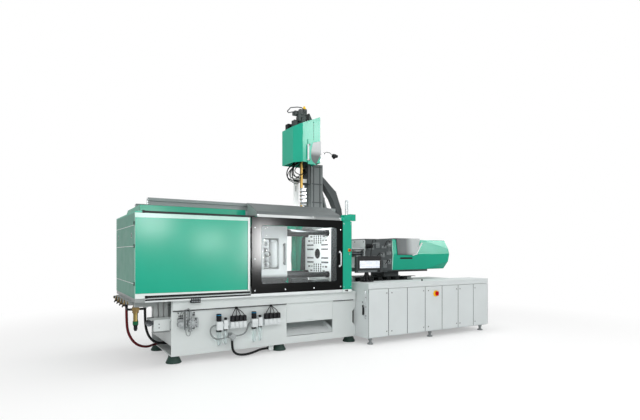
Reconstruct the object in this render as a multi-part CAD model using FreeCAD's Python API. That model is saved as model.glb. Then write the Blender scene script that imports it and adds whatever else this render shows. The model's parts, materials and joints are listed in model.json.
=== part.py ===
"""Two-component injection moulding machine with a horizontal and a vertical injection unit.

Everything is drawn in millimetres from one point: X = 0 is the mounting face of the fixed
platen, Y = 0 is the plane of the clamping axis, Z = 0 is the floor. The clamp unit lies
towards -X, the horizontal injection unit towards +X, and the operator stands at -Y.
As each piece is saved it is moved so that the origin is the centre of the footprint.
"""
import FreeCAD, Part
import math
import os

V = FreeCAD.Vector

# ---------------------------------------------------------------- driving dimensions
# Clamp unit
AXIS_Z = 1353.0                 # clamping axis above the floor
TIE_SPACING = 650.0             # tie bar to tie bar, centre to centre
TIE_D = 80.0
TIE_CLEARANCE = 1.0             # radial, in the moving platen
NUT_D = 130.0
NUT_T = 55.0
PLATEN_W = 800.0
FIXED_PLATEN_T = 200.0
DAYLIGHT = 760.0                # fixed face to moving face, clamp open
CLOSING_STROKE = 400.0
MOVING_PLATEN_L = 420.0
MOVING_BACK_T = 40.0
POCKET_H = 440.0                # pocket through the moving platen, for the ejector
CYLINDER_GAP = 70.0
CYLINDER_L = 800.0
CYLINDER_D = 420.0
PISTON_ROD_D = 220.0
PISTON_ENGAGED = 180.0          # length of ram still in the cylinder when closed
RUNNING_GAP = 1.0               # radial, for rams, rods and screws in their bores
SEAT_GAP = 0.3                  # between a piece that slides and what it slides on
END_PLATEN_T = 200.0
END_PLATEN_W = 770.0
LOCATING_D = 160.0              # centring hole for the mould
LOCATING_DEPTH = 30.0
NOZZLE_BORE_D = 140.0
MOULD_HOLE_D = 17.5             # tapped holes in the platens, without their thread
MOULD_HOLE_DEPTH = 40.0
MOULD_HOLE_Y = 245.0            # tapped holes off the platen's centre
MOULD_HOLE_Z = 140.0
EJECTOR_D = 40.0
EJECTOR_PLATE_T = 30.0
EJECTOR_PLATE_W = 300.0
EJECTOR_STROKE = 150.0
EJECTOR_BACK_GAP = 5.0          # ejector plate off the back of its pocket, at rest
EJECTOR_SPARE = 55.0            # room left in the pocket at the end of the stroke
EJECTOR_RECESS = 5.0            # ejector tip behind the moving face, at rest

# Clamp base
BASE_L = -2505.0
BASE_R = 240.0
BASE_F = -721.0
BASE_B = 420.0
BASE_Z = 100.0                  # underside, on its feet
DECK_Z = 783.0
BASE_WALL = 12.0
WELL_L = -950.0                 # drop well under the mould
WELL_R = -100.0
DECK_HOLE_Y = 230.0
CHUTE_L = -938.0                # opening for the parts in the front of the base
CHUTE_R = -175.0
CHUTE_Z0 = 198.0
CHUTE_Z1 = 655.0
FLAP_Z = 388.0                  # lower edge of the flap over that opening
FLAP_T = 12.0
FLAP_GAP = 2.0
SHELF_Z = 535.0                 # shelf that parts the two service bays
SHELF_T = 43.0
NOTCH_Z0 = 256.0
NOTCH_Z1 = 538.0
NOTCH_DEPTH = 56.0
OUTRIGGER_T = 12.0
RAIL_Y = 300.0                  # bed rails of the moving platen
RAIL_W = 60.0
RAIL_H = 57.0
APRON_PROUD = 23.0
APRON_Z0 = 660.0
APRON_L = -2490.0
APRON_SHEET = 4.0
FOOT_TOP_D = 130.0
FOOT_BASE_D = 190.0
FOOT_FLATS = 12
FOOT_INSET = 130.0
SMALL_FOOT_D = 90.0

# Guarding round the mould and covers round the clamp
COVER_L = -2925.0
COVER_R = -1500.0
COVER_F = -772.0
COVER_B = 737.0
COVER_Z0 = 829.0
COVER_Z1 = 1830.0
COVER_D = 25.0                  # depth of the folded pans
SHEET = 3.0
BAND_LOW = 60.0                 # pale edge bands of the front cover
BAND_HIGH = 57.0
BAND_SIDE = 30.0
BAND_STEP = 2.0
ROOF_T = 20.0
RAISED_L = -2815.0
RAISED_R = -1435.0
RAISED_Y = 450.0
RAISED_Z = 1955.0
BEAM_W = 70.0
BEAM_H = 95.0
BEAM_SPARE = 90.0               # hood past the end of the beam when fully open
BEAM_R = 60.0
GUARD_L = -1490.0
GUARD_R = -45.0
GUARD_F = -800.0
GUARD_T = 23.0
GUARD_Z0 = 823.0
GUARD_Z1 = 1840.0
GUARD_STROKE = 1400.0
WINDOW_L = -1350.0
WINDOW_R = -148.0
WINDOW_Z0 = 950.0
WINDOW_Z1 = 1730.0
WINDOW_CORNER = 35.0
PANE_LAP = 15.0
PANE_T = 6.0
REAR_GUARD_B = 765.0
REAR_GUARD_R = 5.0
REAR_WINDOW_R = -75.0
HOOD_L = -1410.0
HOOD_R = -85.0
HOOD_SHEET = 4.0
COLUMN_L = -41.0
COLUMN_R = 116.0
COLUMN_D = 160.0
COLUMN_WALL = 8.0
REAR_COLUMN_L = 10.0
HANDLE_X = -100.0
HANDLE_Z0 = 1156.0
HANDLE_Z1 = 1391.0
HANDLE_REACH = 42.0
HANDLE_BAR = 16.0
BUTTON_X = 72.0
BUTTON_Z = 1403.0
BUTTON_D = 40.0
BUTTON_STEM_D = 16.0            # across the corners of the hexagon stem
BUTTON_TRAVEL = 4.0
BUTTON_SEAT = 8.0               # head off the column when pressed

# Cabinet in front of the injection base
DOOR_COUNT = 7
DOOR_PITCH = 378.0
DOOR_GAP = 3.0
DOOR_D = 24.0
DOOR_Z0 = 115.0
DOOR_Z1 = 825.0
CABINET_L = 245.0
CABINET_F = -1044.0
CABINET_B = -620.0
CABINET_Z = 100.0
LID_Z0 = 830.0
LID_Z1 = 915.0
LID_SHEET = 6.0
CABINET_WALL = 10.0
RACK_D = 150.0                  # depth that the drives take up on the back wall
SWITCH_X = 1630.0
SWITCH_Z = 707.0
SWITCH_D = 52.0
SWITCH_PROUD = 37.0
SWITCH_SHAFT_D = 12.0           # across the corners of the square shaft

# Injection base and horizontal injection unit
INJ_BASE_B = 420.0
INJ_BASE_Z = 880.0
INJ_RAIL_L = 420.0
INJ_RAIL_R = 1870.0
INJ_RAIL_Z = 950.0
INJ_RAIL_Y = 150.0
INJ_RAIL_W = 80.0
UNIT_STROKE = 200.0             # brings the nozzle to the bottom of the centring hole
CARRIAGE_L = 760.0
CARRIAGE_R = 1330.0
CARRIAGE_Y = 300.0
CARRIAGE_Z0 = 1070.0
CARRIAGE_Z1 = 1600.0
BULKHEAD_T = 140.0
CARRIAGE_WALL = 40.0
PEDESTAL_L = 1240.0
PEDESTAL_R = 1570.0
TRAY_R = 2180.0
TRAY_T = 30.0
COVER_RIDGE_Z = 1344.0
INJ_COVER_R = 2720.0
INJ_COVER_WALL = 6.0
INJ_COVER_Y = (290.0, 310.0, 280.0)   # half width at the foot, the ridge and the top
END_FACET = 45.0
HOOD_X = (1440.0, 1900.0, 1980.0, 1430.0)
BARREL_D = 110.0
BARREL_HEAD_T = 15.0            # end wall between the barrel's bore and its nozzle
NOZZLE_L = 120.0
NOZZLE_D = 40.0
SCREW_D = 50.0
SCREW_END_GAP = 5.0             # screw off the barrel's end wall when fully forward
PLUNGE = 180.0
DRIVE_X = 1180.0
DRIVE_T = 60.0
DRIVE_W = 300.0
MOTOR_D = 220.0
MOTOR_L = 320.0
TRAVEL_ROD_Y = 210.0
TRAVEL_ROD_D = 60.0
TRAVEL_ROD_END = 1050.0

# Vertical injection unit
VERTICAL_X = -300.0             # axis of the vertical barrel
PLATFORM_L = -120.0
PLATFORM_R = 600.0
PLATFORM_F = -40.0
PLATFORM_B = 300.0
PLATFORM_T = 40.0
TOWER_L = -110.0
TOWER_R = 115.0
TOWER_F = 20.0
TOWER_B = 240.0
TOWER_Z = 2810.0
TOWER_WALL = 12.0
TOWER_RAIL_T = 15.0
TOWER_RAIL_W = 40.0
STRUT_W = 60.0
V_COVER_L = -530.0
V_COVER_R = -118.0
V_COVER_F = -280.0
V_COVER_B = 220.0
V_COVER_Z0 = 2765.0
V_COVER_TOP_L = 3320.0
V_COVER_TOP_R = 3490.0
V_CHAMFER_X = 100.0
V_CHAMFER_Y = 130.0
V_WALL = 6.0
V_CARRIAGE_T = 40.0
V_CARRIAGE_Z0 = 2480.0
V_CARRIAGE_Z1 = 3250.0
V_STROKE = 350.0
V_BARREL_D = 60.0
V_BARREL_Z0 = 2350.0
V_FLANGE_Z = 2900.0
V_FLANGE_T = 90.0
V_NOZZLE_D = 40.0
V_NOZZLE_L = 360.0
V_SCREW_D = 30.0
V_PLUNGE = 80.0
V_DRIVE_Z = 3075.0
V_DRIVE_T = 30.0
V_MOTOR_W = 180.0
V_MOTOR_Z = 3650.0
DUCT_F = 60.0
DUCT_B = 200.0

# Operator terminal
TERMINAL_L = 220.0
TERMINAL_R = 720.0
TERMINAL_Z0 = 1060.0
TERMINAL_Z1 = 1310.0
TERMINAL_F = -780.0
TERMINAL_T = 50.0
POST_X = 470.0
POST_Y = -700.0
POST_D = 40.0
POST_TOP = 1190.0
COLLAR_Z = 1100.0
SWIVEL_GAP = 0.5

# Services on the left end
MANIFOLD_X = -2960.0
MANIFOLD_Z0 = 735.0
MANIFOLD_Z1 = 783.0
COUPLING_COUNT = 5
FILTER_X = -2891.0
FILTER_Y = -600.0
FILTER_D = 84.0
ARM_L = -2700.0
ARM_Y = -600.0
RED_HOSE_D = 24.0
BLACK_HOSE_D = 22.0
SUPPLY_HOSE_D = 24.0
AIR_HOSE_D = 16.0
HOSE_FLATS = 6

# ---------------------------------------------------------------- values that follow
TIE_R = TIE_SPACING / 2
PLATEN_R = PLATEN_W / 2
MOVING_X = -DAYLIGHT
MOVING_BACK = MOVING_X - MOVING_PLATEN_L
CYLINDER_R = MOVING_BACK - CYLINDER_GAP
CYLINDER_L_X = CYLINDER_R - CYLINDER_L
END_PLATEN_L = CYLINDER_L_X - END_PLATEN_T
MOVING_FACE_T = (MOVING_PLATEN_L - MOVING_BACK_T - EJECTOR_BACK_GAP - EJECTOR_PLATE_T
                 - EJECTOR_STROKE - EJECTOR_SPARE)
NOZZLE_TIP_X = LOCATING_DEPTH + UNIT_STROKE
CABINET_R = CABINET_L + DOOR_COUNT * DOOR_PITCH
FOOTPRINT_L = MANIFOLD_X - 30.0
FOOTPRINT_F = CABINET_F - SWITCH_PROUD
FOOTPRINT = V(-(FOOTPRINT_L + CABINET_R) / 2, -(FOOTPRINT_F + REAR_GUARD_B) / 2, 0)
BEAM_Z0 = RAISED_Z
BEAM_L = HOOD_L - GUARD_STROKE + BEAM_SPARE
BEAM_Z1 = BEAM_Z0 + BEAM_H
V_BLANK_Z = max(V_COVER_TOP_L, V_COVER_TOP_R) + 200.0   # blank of the vertical cover, before its cut
AIR_PLATE_F = BASE_F - 9.0
AIR_Y = -790.0                  # centre line of the air service units


# ---------------------------------------------------------------- drawing helpers
def block(x, y, z):
    """Box between the two values given for each axis."""
    return Part.makeBox(x[1] - x[0], y[1] - y[0], z[1] - z[0], V(x[0], y[0], z[0]))


def rod(axis, centre, span, diameter):
    """Cylinder along X, Y or Z. centre holds the other two coordinates in XYZ order."""
    a, b = centre
    start = {"X": V(span[0], a, b), "Y": V(a, span[0], b), "Z": V(a, b, span[0])}[axis]
    way = {"X": V(1, 0, 0), "Y": V(0, 1, 0), "Z": V(0, 0, 1)}[axis]
    return Part.makeCylinder(diameter / 2, span[1] - span[0], start, way)


def prism(axis, outline, span):
    """Flat outline, in the two other axes in XYZ order, drawn out along an axis."""
    place = {
        "X": lambda a, b: V(span[0], a, b),
        "Y": lambda a, b: V(a, span[0], b),
        "Z": lambda a, b: V(a, b, span[0]),
    }[axis]
    corners = [place(a, b) for a, b in outline]
    face = Part.Face(Part.makePolygon(corners + corners[:1]))
    way = {"X": V(1, 0, 0), "Y": V(0, 1, 0), "Z": V(0, 0, 1)}[axis]
    return face.extrude(way * (span[1] - span[0]))


def flatted(axis, centre, span, across, flats=6):
    """Hexagon bar, or one with another number of flats, of the given width across its flats."""
    a, b = centre
    radius = across / 2 / math.cos(math.pi / flats)
    turns = [2 * math.pi * (i + 0.5) / flats for i in range(flats)]
    return prism(axis, [(a + radius * math.cos(t), b + radius * math.sin(t)) for t in turns], span)


def faceted_cone(x, y, z, diameters, flats):
    """Upright truncated cone with flat sides, from z[0] to z[1], by its widths at both ends."""
    rings = []
    for level, diameter in zip(z, diameters):
        turns = [2 * math.pi * i / flats for i in range(flats + 1)]
        rings.append([V(x + diameter / 2 * math.cos(t), y + diameter / 2 * math.sin(t), level)
                      for t in turns])
    low, high = rings
    low[-1], high[-1] = low[0], high[0]
    faces = [Part.Face(Part.makePolygon(low)), Part.Face(Part.makePolygon(high))]
    for i in range(flats):
        faces.append(Part.Face(Part.makePolygon([low[i], low[i + 1], high[i + 1], high[i], low[i]])))
    solid = Part.makeSolid(Part.makeShell(faces))
    if solid.Volume < 0:
        solid.reverse()
    return solid


def turned(axis, centre, profile):
    """Solid of revolution. profile lists (position along the axis, radius) from end to end."""
    a, b = centre
    place = {
        "X": lambda t, r: V(t, a, b + r),
        "Y": lambda t, r: V(a + r, t, b),
        "Z": lambda t, r: V(a + r, b, t),
    }[axis]
    way = {"X": V(1, 0, 0), "Y": V(0, 1, 0), "Z": V(0, 0, 1)}[axis]
    points = [(profile[0][0], 0.0)] + list(profile) + [(profile[-1][0], 0.0)]
    corners = [place(t, r) for t, r in points]
    face = Part.Face(Part.makePolygon(corners + corners[:1]))
    return face.revolve(place(0.0, 0.0), way, 360)


def joined(first, *others):
    """One solid from pieces that are welded, cast or folded together."""
    return first.fuse(list(others)).removeSplitter()


def group(pieces):
    """Several separate solids kept in one file."""
    return Part.makeCompound(list(pieces))


def mirrored_y(shape):
    """The same piece on the other side of the clamping axis."""
    return shape.mirror(V(0, 0, 0), V(0, 1, 0))


def pan(x, y, z, open_side):
    """Folded sheet-metal pan. open_side is where its flanges end: +Y, -Y or +X."""
    inner_x, inner_y, inner_z = [(lo + SHEET, hi - SHEET) for lo, hi in (x, y, z)]
    if open_side == "+Y":
        inner_y = (y[0] + SHEET, y[1] + 1)
    if open_side == "-Y":
        inner_y = (y[0] - 1, y[1] - SHEET)
    if open_side == "+X":
        inner_x = (x[0] + SHEET, x[1] + 1)
    return block(x, y, z).cut(block(inner_x, inner_y, inner_z))


def hose_section(centre, way, diameter):
    """Outline square to way, with HOSE_FLATS flats and the area of a circle of that diameter."""
    step = 2 * math.pi / HOSE_FLATS
    radius = math.sqrt(2 * math.pi * (diameter / 2) ** 2 / (HOSE_FLATS * math.sin(step)))
    side = V(0, 1, 0) if abs(way.y) < 0.9 * way.Length else V(1, 0, 0)
    u = way.cross(side).normalize()
    v = way.cross(u).normalize()
    corners = [centre + u * (radius * math.cos(step * i)) + v * (radius * math.sin(step * i))
               for i in range(HOSE_FLATS)]
    return Part.makePolygon(corners + corners[:1])


def tube(name, points, diameter):
    """Hose along straight runs joined by tangent arcs, each as large as its runs allow."""
    nodes = [V(*p) for p in points]
    edges = []
    start = nodes[0]
    radii = []
    for before, corner, after in zip(nodes, nodes[1:], nodes[2:]):
        back = before - corner
        ahead = after - corner
        reach = 0.45 * min(back.Length, ahead.Length)
        back.normalize()
        ahead.normalize()
        turn = math.pi - back.getAngle(ahead)
        radii.append(reach / math.tan(turn / 2))
        enter = corner + back * reach
        leave = corner + ahead * reach
        inward = (back + ahead).normalize()
        middle = corner + inward * (radii[-1] / math.cos(turn / 2) - radii[-1])
        edges.append(Part.LineSegment(start, enter).toShape())
        edges.append(Part.Arc(enter, middle, leave).toShape())
        start = leave
    edges.append(Part.LineSegment(start, nodes[-1]).toShape())
    path = Part.Wire(edges)
    ring = hose_section(nodes[0], nodes[1] - nodes[0], diameter)
    solid = path.makePipeShell([ring], True, False)
    expected = math.pi * diameter ** 2 / 4 * path.Length
    print(name, "length %.0f" % path.Length, "least radius %.0f" % min(radii),
          "volume ratio %.3f" % (solid.Volume / expected))
    return solid


def tie_centres():
    """Y and Z of the four tie bars."""
    return [(y, AXIS_Z + z) for y in (-TIE_R, TIE_R) for z in (-TIE_R, TIE_R)]


# ---------------------------------------------------------------- base
def clamp_base():
    """Welded box base, open at its left end and underneath at its right end."""
    inner_y = (BASE_F + BASE_WALL, BASE_B - BASE_WALL)
    shell = block((BASE_L, BASE_R), (BASE_F, BASE_B), (BASE_Z, DECK_Z))
    upper_bay = block((BASE_L - 1, WELL_L - BASE_WALL), inner_y,
                      (SHELF_Z + SHELF_T, DECK_Z - BASE_WALL))
    lower_bay = block((BASE_L - 1, WELL_L - BASE_WALL), inner_y,
                      (BASE_Z + BASE_WALL, SHELF_Z))
    well = block((WELL_L, WELL_R), inner_y, (BASE_Z + BASE_WALL, DECK_Z - BASE_WALL))
    right = block((WELL_R + BASE_WALL, BASE_R - BASE_WALL), inner_y,
                  (BASE_Z - 1, DECK_Z - BASE_WALL))
    deck_hole = block((WELL_L + 30, WELL_R - 10), (-DECK_HOLE_Y, DECK_HOLE_Y),
                      (DECK_Z - BASE_WALL - 1, DECK_Z + 1))
    front_opening = block((CHUTE_L, CHUTE_R), (BASE_F - 1, BASE_F + BASE_WALL + 1),
                          (CHUTE_Z0, CHUTE_Z1))
    slope = NOTCH_DEPTH
    notch = prism("Y", [(BASE_R + 1, NOTCH_Z0), (BASE_R - NOTCH_DEPTH, NOTCH_Z0 + slope),
                        (BASE_R - NOTCH_DEPTH, NOTCH_Z1 - slope), (BASE_R + 1, NOTCH_Z1)],
                  (BASE_F - 1, BASE_F + BASE_WALL + 1))
    body = shell.cut([upper_bay, lower_bay, well, right, deck_hole, front_opening, notch])
    outrigger = block((BASE_L, BASE_R), (BASE_B, COVER_B), (DECK_Z - OUTRIGGER_T, DECK_Z))
    gussets = [prism("X", [(BASE_B, DECK_Z - OUTRIGGER_T - 200), (BASE_B, DECK_Z - OUTRIGGER_T),
                           (COVER_B, DECK_Z - OUTRIGGER_T)], (x, x + BASE_WALL))
               for x in (BASE_L, -1600.0, -700.0, BASE_R - BASE_WALL)]
    rails = [block((END_PLATEN_L + 20, WELL_R), (y - RAIL_W / 2, y + RAIL_W / 2),
                   (DECK_Z, DECK_Z + RAIL_H)) for y in (-RAIL_Y, RAIL_Y)]
    return joined(body, outrigger, *gussets, *rails)


def parts_chute():
    """Folded sheet slide that takes the moulded parts from the well to the front opening."""
    low, high = CHUTE_Z0 + 6, CHUTE_Z1 - 20
    front, back = BASE_F + BASE_WALL, BASE_B - BASE_WALL
    lip = 60.0
    profile = [(front, low), (back, high), (back, high + lip), (front, low + lip)]
    slide = prism("X", profile, (CHUTE_L + 6, CHUTE_R - 6))
    room = prism("X", [(y, z + APRON_SHEET) for y, z in profile[:2]]
                 + [(back, high + lip + 10), (front, low + lip + 10)],
                 (CHUTE_L + 6 + APRON_SHEET, CHUTE_R - 6 - APRON_SHEET))
    legs = [block((x, x + 40), (-300.0, -260.0), (BASE_Z + BASE_WALL, low + 250))
            for x in (CHUTE_L + 60, CHUTE_R - 100)]
    above = prism("X", [(front, low), (back, high), (back, high + 400), (front, low + 400)],
                  (CHUTE_L, CHUTE_R))
    return joined(slide.cut(room), *[leg.cut(above) for leg in legs])


def chute_flap():
    """Sheet flap hinged along its top edge over the upper half of the front opening."""
    x = (CHUTE_L + FLAP_GAP, CHUTE_R - FLAP_GAP)
    z = (FLAP_Z, CHUTE_Z1 - SEAT_GAP)
    return pan(x, (BASE_F, BASE_F + FLAP_T), z, "+Y")


def machine_feet():
    """Levelling feet: faceted cones under the base, eight-sided blocks under the cabinet."""
    feet = []
    for x in (BASE_L + 60, -990.0, BASE_R - 30):
        for y in (BASE_F + FOOT_INSET, BASE_B - FOOT_INSET):
            feet.append(faceted_cone(x, y, (0.0, BASE_Z), (FOOT_BASE_D, FOOT_TOP_D), FOOT_FLATS))
    for x in (CABINET_L + 100, (CABINET_L + CABINET_R) / 2, CABINET_R - 100):
        for y in (CABINET_F + 90, INJ_BASE_B - 90):
            feet.append(flatted("Z", (x, y), (0, CABINET_Z), SMALL_FOOT_D, 8))
    return group(feet)


def front_apron():
    """Folded sheet along the top of the base front, with the socket panel at its left."""
    outer = (BASE_F - APRON_PROUD, BASE_F)
    sheet = block((APRON_L, BASE_R - 10), outer, (APRON_Z0, DECK_Z))
    room = block((APRON_L - 1, BASE_R), (outer[0] + APRON_SHEET, outer[1] - APRON_SHEET),
                 (APRON_Z0 + APRON_SHEET, DECK_Z - APRON_SHEET))
    slit = block((APRON_L - 1, BASE_R), (outer[1] - APRON_SHEET - 1, outer[1] + 1),
                 (APRON_Z0 + 12, DECK_Z - 12))
    sockets = block((-2280.0, -2166.0), (outer[0] - 14, outer[0]), (738.0, DECK_Z))
    return joined(sheet.cut([room, slit]), sockets)


def guard_rails():
    """Bottom tracks of the front and rear guards, which also carry the clamp covers."""
    inner = COVER_F + 37
    lip = GUARD_Z0 - SEAT_GAP
    profile = [(GUARD_F, DECK_Z), (BASE_F + 40, DECK_Z), (BASE_F + 40, DECK_Z + 7),
               (inner, DECK_Z + 7), (inner, COVER_Z0), (COVER_F, COVER_Z0),
               (COVER_F, lip), (GUARD_F, lip)]
    front = prism("X", profile, (COVER_L + 105, GUARD_R))
    offset = COVER_B + COVER_F
    rear = [(-y + offset, z) for y, z in profile]
    return group([front, prism("X", rear, (COVER_L + 105, REAR_GUARD_R))])


# ---------------------------------------------------------------- clamp unit
def mould_holes(face_x, way):
    """Four blind holes for the mould clamps, at the corners of a rectangle."""
    depth = (face_x - 1, face_x + MOULD_HOLE_DEPTH)
    if way < 0:
        depth = (face_x - MOULD_HOLE_DEPTH, face_x + 1)
    return [rod("X", (y, z), depth, MOULD_HOLE_D)
            for y in (-MOULD_HOLE_Y, MOULD_HOLE_Y)
            for z in (AXIS_Z - MOULD_HOLE_Z, AXIS_Z + MOULD_HOLE_Z)]


def fixed_platen():
    """Cast platen on the base, with the centring hole and the bore for the nozzle."""
    plate = block((0, FIXED_PLATEN_T), (-PLATEN_R, PLATEN_R), (AXIS_Z - PLATEN_R, AXIS_Z + PLATEN_R))
    foot = block((20, FIXED_PLATEN_T), (-PLATEN_R + 90, PLATEN_R - 90), (DECK_Z, AXIS_Z - PLATEN_R))
    ties = [rod("X", c, (-1, FIXED_PLATEN_T + 1), TIE_D) for c in tie_centres()]
    centring = rod("X", (0, AXIS_Z), (-1, LOCATING_DEPTH), LOCATING_D)
    nozzle = rod("X", (0, AXIS_Z), (-1, FIXED_PLATEN_T + 1), NOZZLE_BORE_D)
    return joined(plate, foot).cut(ties + [centring, nozzle] + mould_holes(0, 1))


def tie_bars():
    """Four bars with a nut at each end, tying the end platen to the fixed platen."""
    bars = []
    for centre in tie_centres():
        bar = rod("X", centre, (END_PLATEN_L - NUT_T, FIXED_PLATEN_T + NUT_T), TIE_D)
        left = flatted("X", centre, (END_PLATEN_L - NUT_T, END_PLATEN_L), NUT_D)
        right = flatted("X", centre, (FIXED_PLATEN_T, FIXED_PLATEN_T + NUT_T), NUT_D)
        bars.append(joined(bar, left, right))
    return group(bars)


def end_platen():
    """End platen with the clamping cylinder cast on, standing on the bed."""
    half = END_PLATEN_W / 2
    plate = block((END_PLATEN_L, CYLINDER_L_X), (-half, half), (AXIS_Z - half, AXIS_Z + half))
    foot = block((END_PLATEN_L + 20, CYLINDER_L_X), (-half + 60, half - 60),
                 (DECK_Z + RAIL_H, AXIS_Z - half))
    cylinder = rod("X", (0, AXIS_Z), (CYLINDER_L_X, CYLINDER_R), CYLINDER_D)
    bore = rod("X", (0, AXIS_Z), (CYLINDER_L_X + 20, CYLINDER_R + 1),
               PISTON_ROD_D + 2 * RUNNING_GAP)
    ties = [rod("X", c, (END_PLATEN_L - 1, CYLINDER_L_X + 1), TIE_D) for c in tie_centres()]
    return joined(plate, foot, cylinder).cut([bore] + ties)


def moving_platen():
    """Cast platen that runs on the bed rails, with a pocket for the ejector."""
    body = block((MOVING_BACK, MOVING_X), (-PLATEN_R, PLATEN_R), (AXIS_Z - PLATEN_R, AXIS_Z + PLATEN_R))
    pocket = block((MOVING_BACK + MOVING_BACK_T, MOVING_X - MOVING_FACE_T),
                   (-PLATEN_R - 1, PLATEN_R + 1), (AXIS_Z - POCKET_H / 2, AXIS_Z + POCKET_H / 2))
    shoes = [block((MOVING_BACK, MOVING_X), (y - RAIL_W / 2 - 15, y + RAIL_W / 2 + 15),
                   (DECK_Z + RAIL_H + SEAT_GAP, AXIS_Z - PLATEN_R)) for y in (-RAIL_Y, RAIL_Y)]
    ties = [rod("X", c, (MOVING_BACK - 1, MOVING_X + 1), TIE_D + 2 * TIE_CLEARANCE)
            for c in tie_centres()]
    ejector = rod("X", (0, AXIS_Z), (MOVING_X - MOVING_FACE_T - 1, MOVING_X + 1),
                  EJECTOR_D + 2 * RUNNING_GAP)
    return joined(body, *shoes).cut([pocket, ejector] + ties + mould_holes(MOVING_X, -1))


def piston_rod():
    """Ram of the clamping cylinder, bolted to the back of the moving platen."""
    head = CYLINDER_R - PISTON_ENGAGED - CLOSING_STROKE
    return rod("X", (0, AXIS_Z), (head, MOVING_BACK), PISTON_ROD_D)


def ejector():
    """Ejector plate in the platen's pocket, with the rod that pushes the mouldings out."""
    back = MOVING_BACK + MOVING_BACK_T + EJECTOR_BACK_GAP
    plate = block((back, back + EJECTOR_PLATE_T), (-EJECTOR_PLATE_W / 2, EJECTOR_PLATE_W / 2),
                  (AXIS_Z - EJECTOR_PLATE_W / 2, AXIS_Z + EJECTOR_PLATE_W / 2))
    pin = rod("X", (0, AXIS_Z), (back + EJECTOR_PLATE_T - 1, MOVING_X - EJECTOR_RECESS), EJECTOR_D)
    return joined(plate, pin)


# ---------------------------------------------------------------- covers of the clamp unit
def clamp_cover_front():
    """Large green pan on the operator side, its panel standing proud of pale edge bands."""
    x, z = (COVER_L, COVER_R), (COVER_Z0, COVER_Z1)
    cover = pan(x, (COVER_F + BAND_STEP, COVER_F + COVER_D), z, "+Y")
    panel = block((COVER_L, COVER_R - BAND_SIDE), (COVER_F, COVER_F + BAND_STEP + 1),
                  (COVER_Z0 + BAND_LOW, COVER_Z1 - BAND_HIGH))
    return joined(cover, panel)


def clamp_cover_rear():
    """Plain pan on the side away from the operator."""
    return pan((COVER_L, COVER_R), (COVER_B - COVER_D, COVER_B), (COVER_Z0, COVER_Z1), "-Y")


def clamp_cover_end():
    """End cover of three panels with set-back joints between them."""
    y0, y1 = COVER_F + COVER_D, COVER_B - COVER_D
    plate = pan((COVER_L, COVER_L + COVER_D), (y0, y1), (COVER_Z0, COVER_Z1), "+X")
    seams = [block((COVER_L - 1, COVER_L + 1.5), (y0 - 1, y1 + 1), (z - 4, z + 4))
             for z in (1000.0, 1440.0, 1687.0)]
    return plate.cut(seams)


def clamp_roof():
    """Roof of the clamp unit, with its raised middle sloping down at the rear."""
    low = block((COVER_L, COVER_R), (COVER_F, COVER_B), (COVER_Z1, COVER_Z1 + ROOF_T))
    top = COVER_Z1 + ROOF_T
    raised = prism("X", [(-RAISED_Y, top), (-RAISED_Y, RAISED_Z), (RAISED_Y, RAISED_Z),
                         (COVER_B - 20, top)], (RAISED_L, RAISED_R))
    t = 6.0
    room = block((RAISED_L + t, COVER_R - t), (-RAISED_Y + t, RAISED_Y), (COVER_Z1 - 1, RAISED_Z - t))
    slope_room = prism("X", [(RAISED_Y - 1, top), (RAISED_Y - 1, RAISED_Z - t), (RAISED_Y, RAISED_Z - t),
                             (COVER_B - 40, top)], (RAISED_L + t, COVER_R - t))
    return joined(low, raised).cut([room, slope_room])


def roof_beams():
    """Top rails that carry the guards' hoods, each with a post on the fixed platen."""
    beam = block((BEAM_L, BEAM_R), (-RAISED_Y, -RAISED_Y + BEAM_W), (BEAM_Z0, BEAM_Z1))
    groove = block((BEAM_L - 1, BEAM_R + 1), (-RAISED_Y - 1, -RAISED_Y + 14),
                   (BEAM_Z0 + 30, BEAM_Z0 + 55))
    post = block((FIXED_PLATEN_T / 20, BEAM_R), (-PLATEN_R, -RAISED_Y + BEAM_W),
                 (AXIS_Z + PLATEN_R, BEAM_Z0))
    front = joined(beam.cut(groove), post)
    return group([front, mirrored_y(front)])


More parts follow.
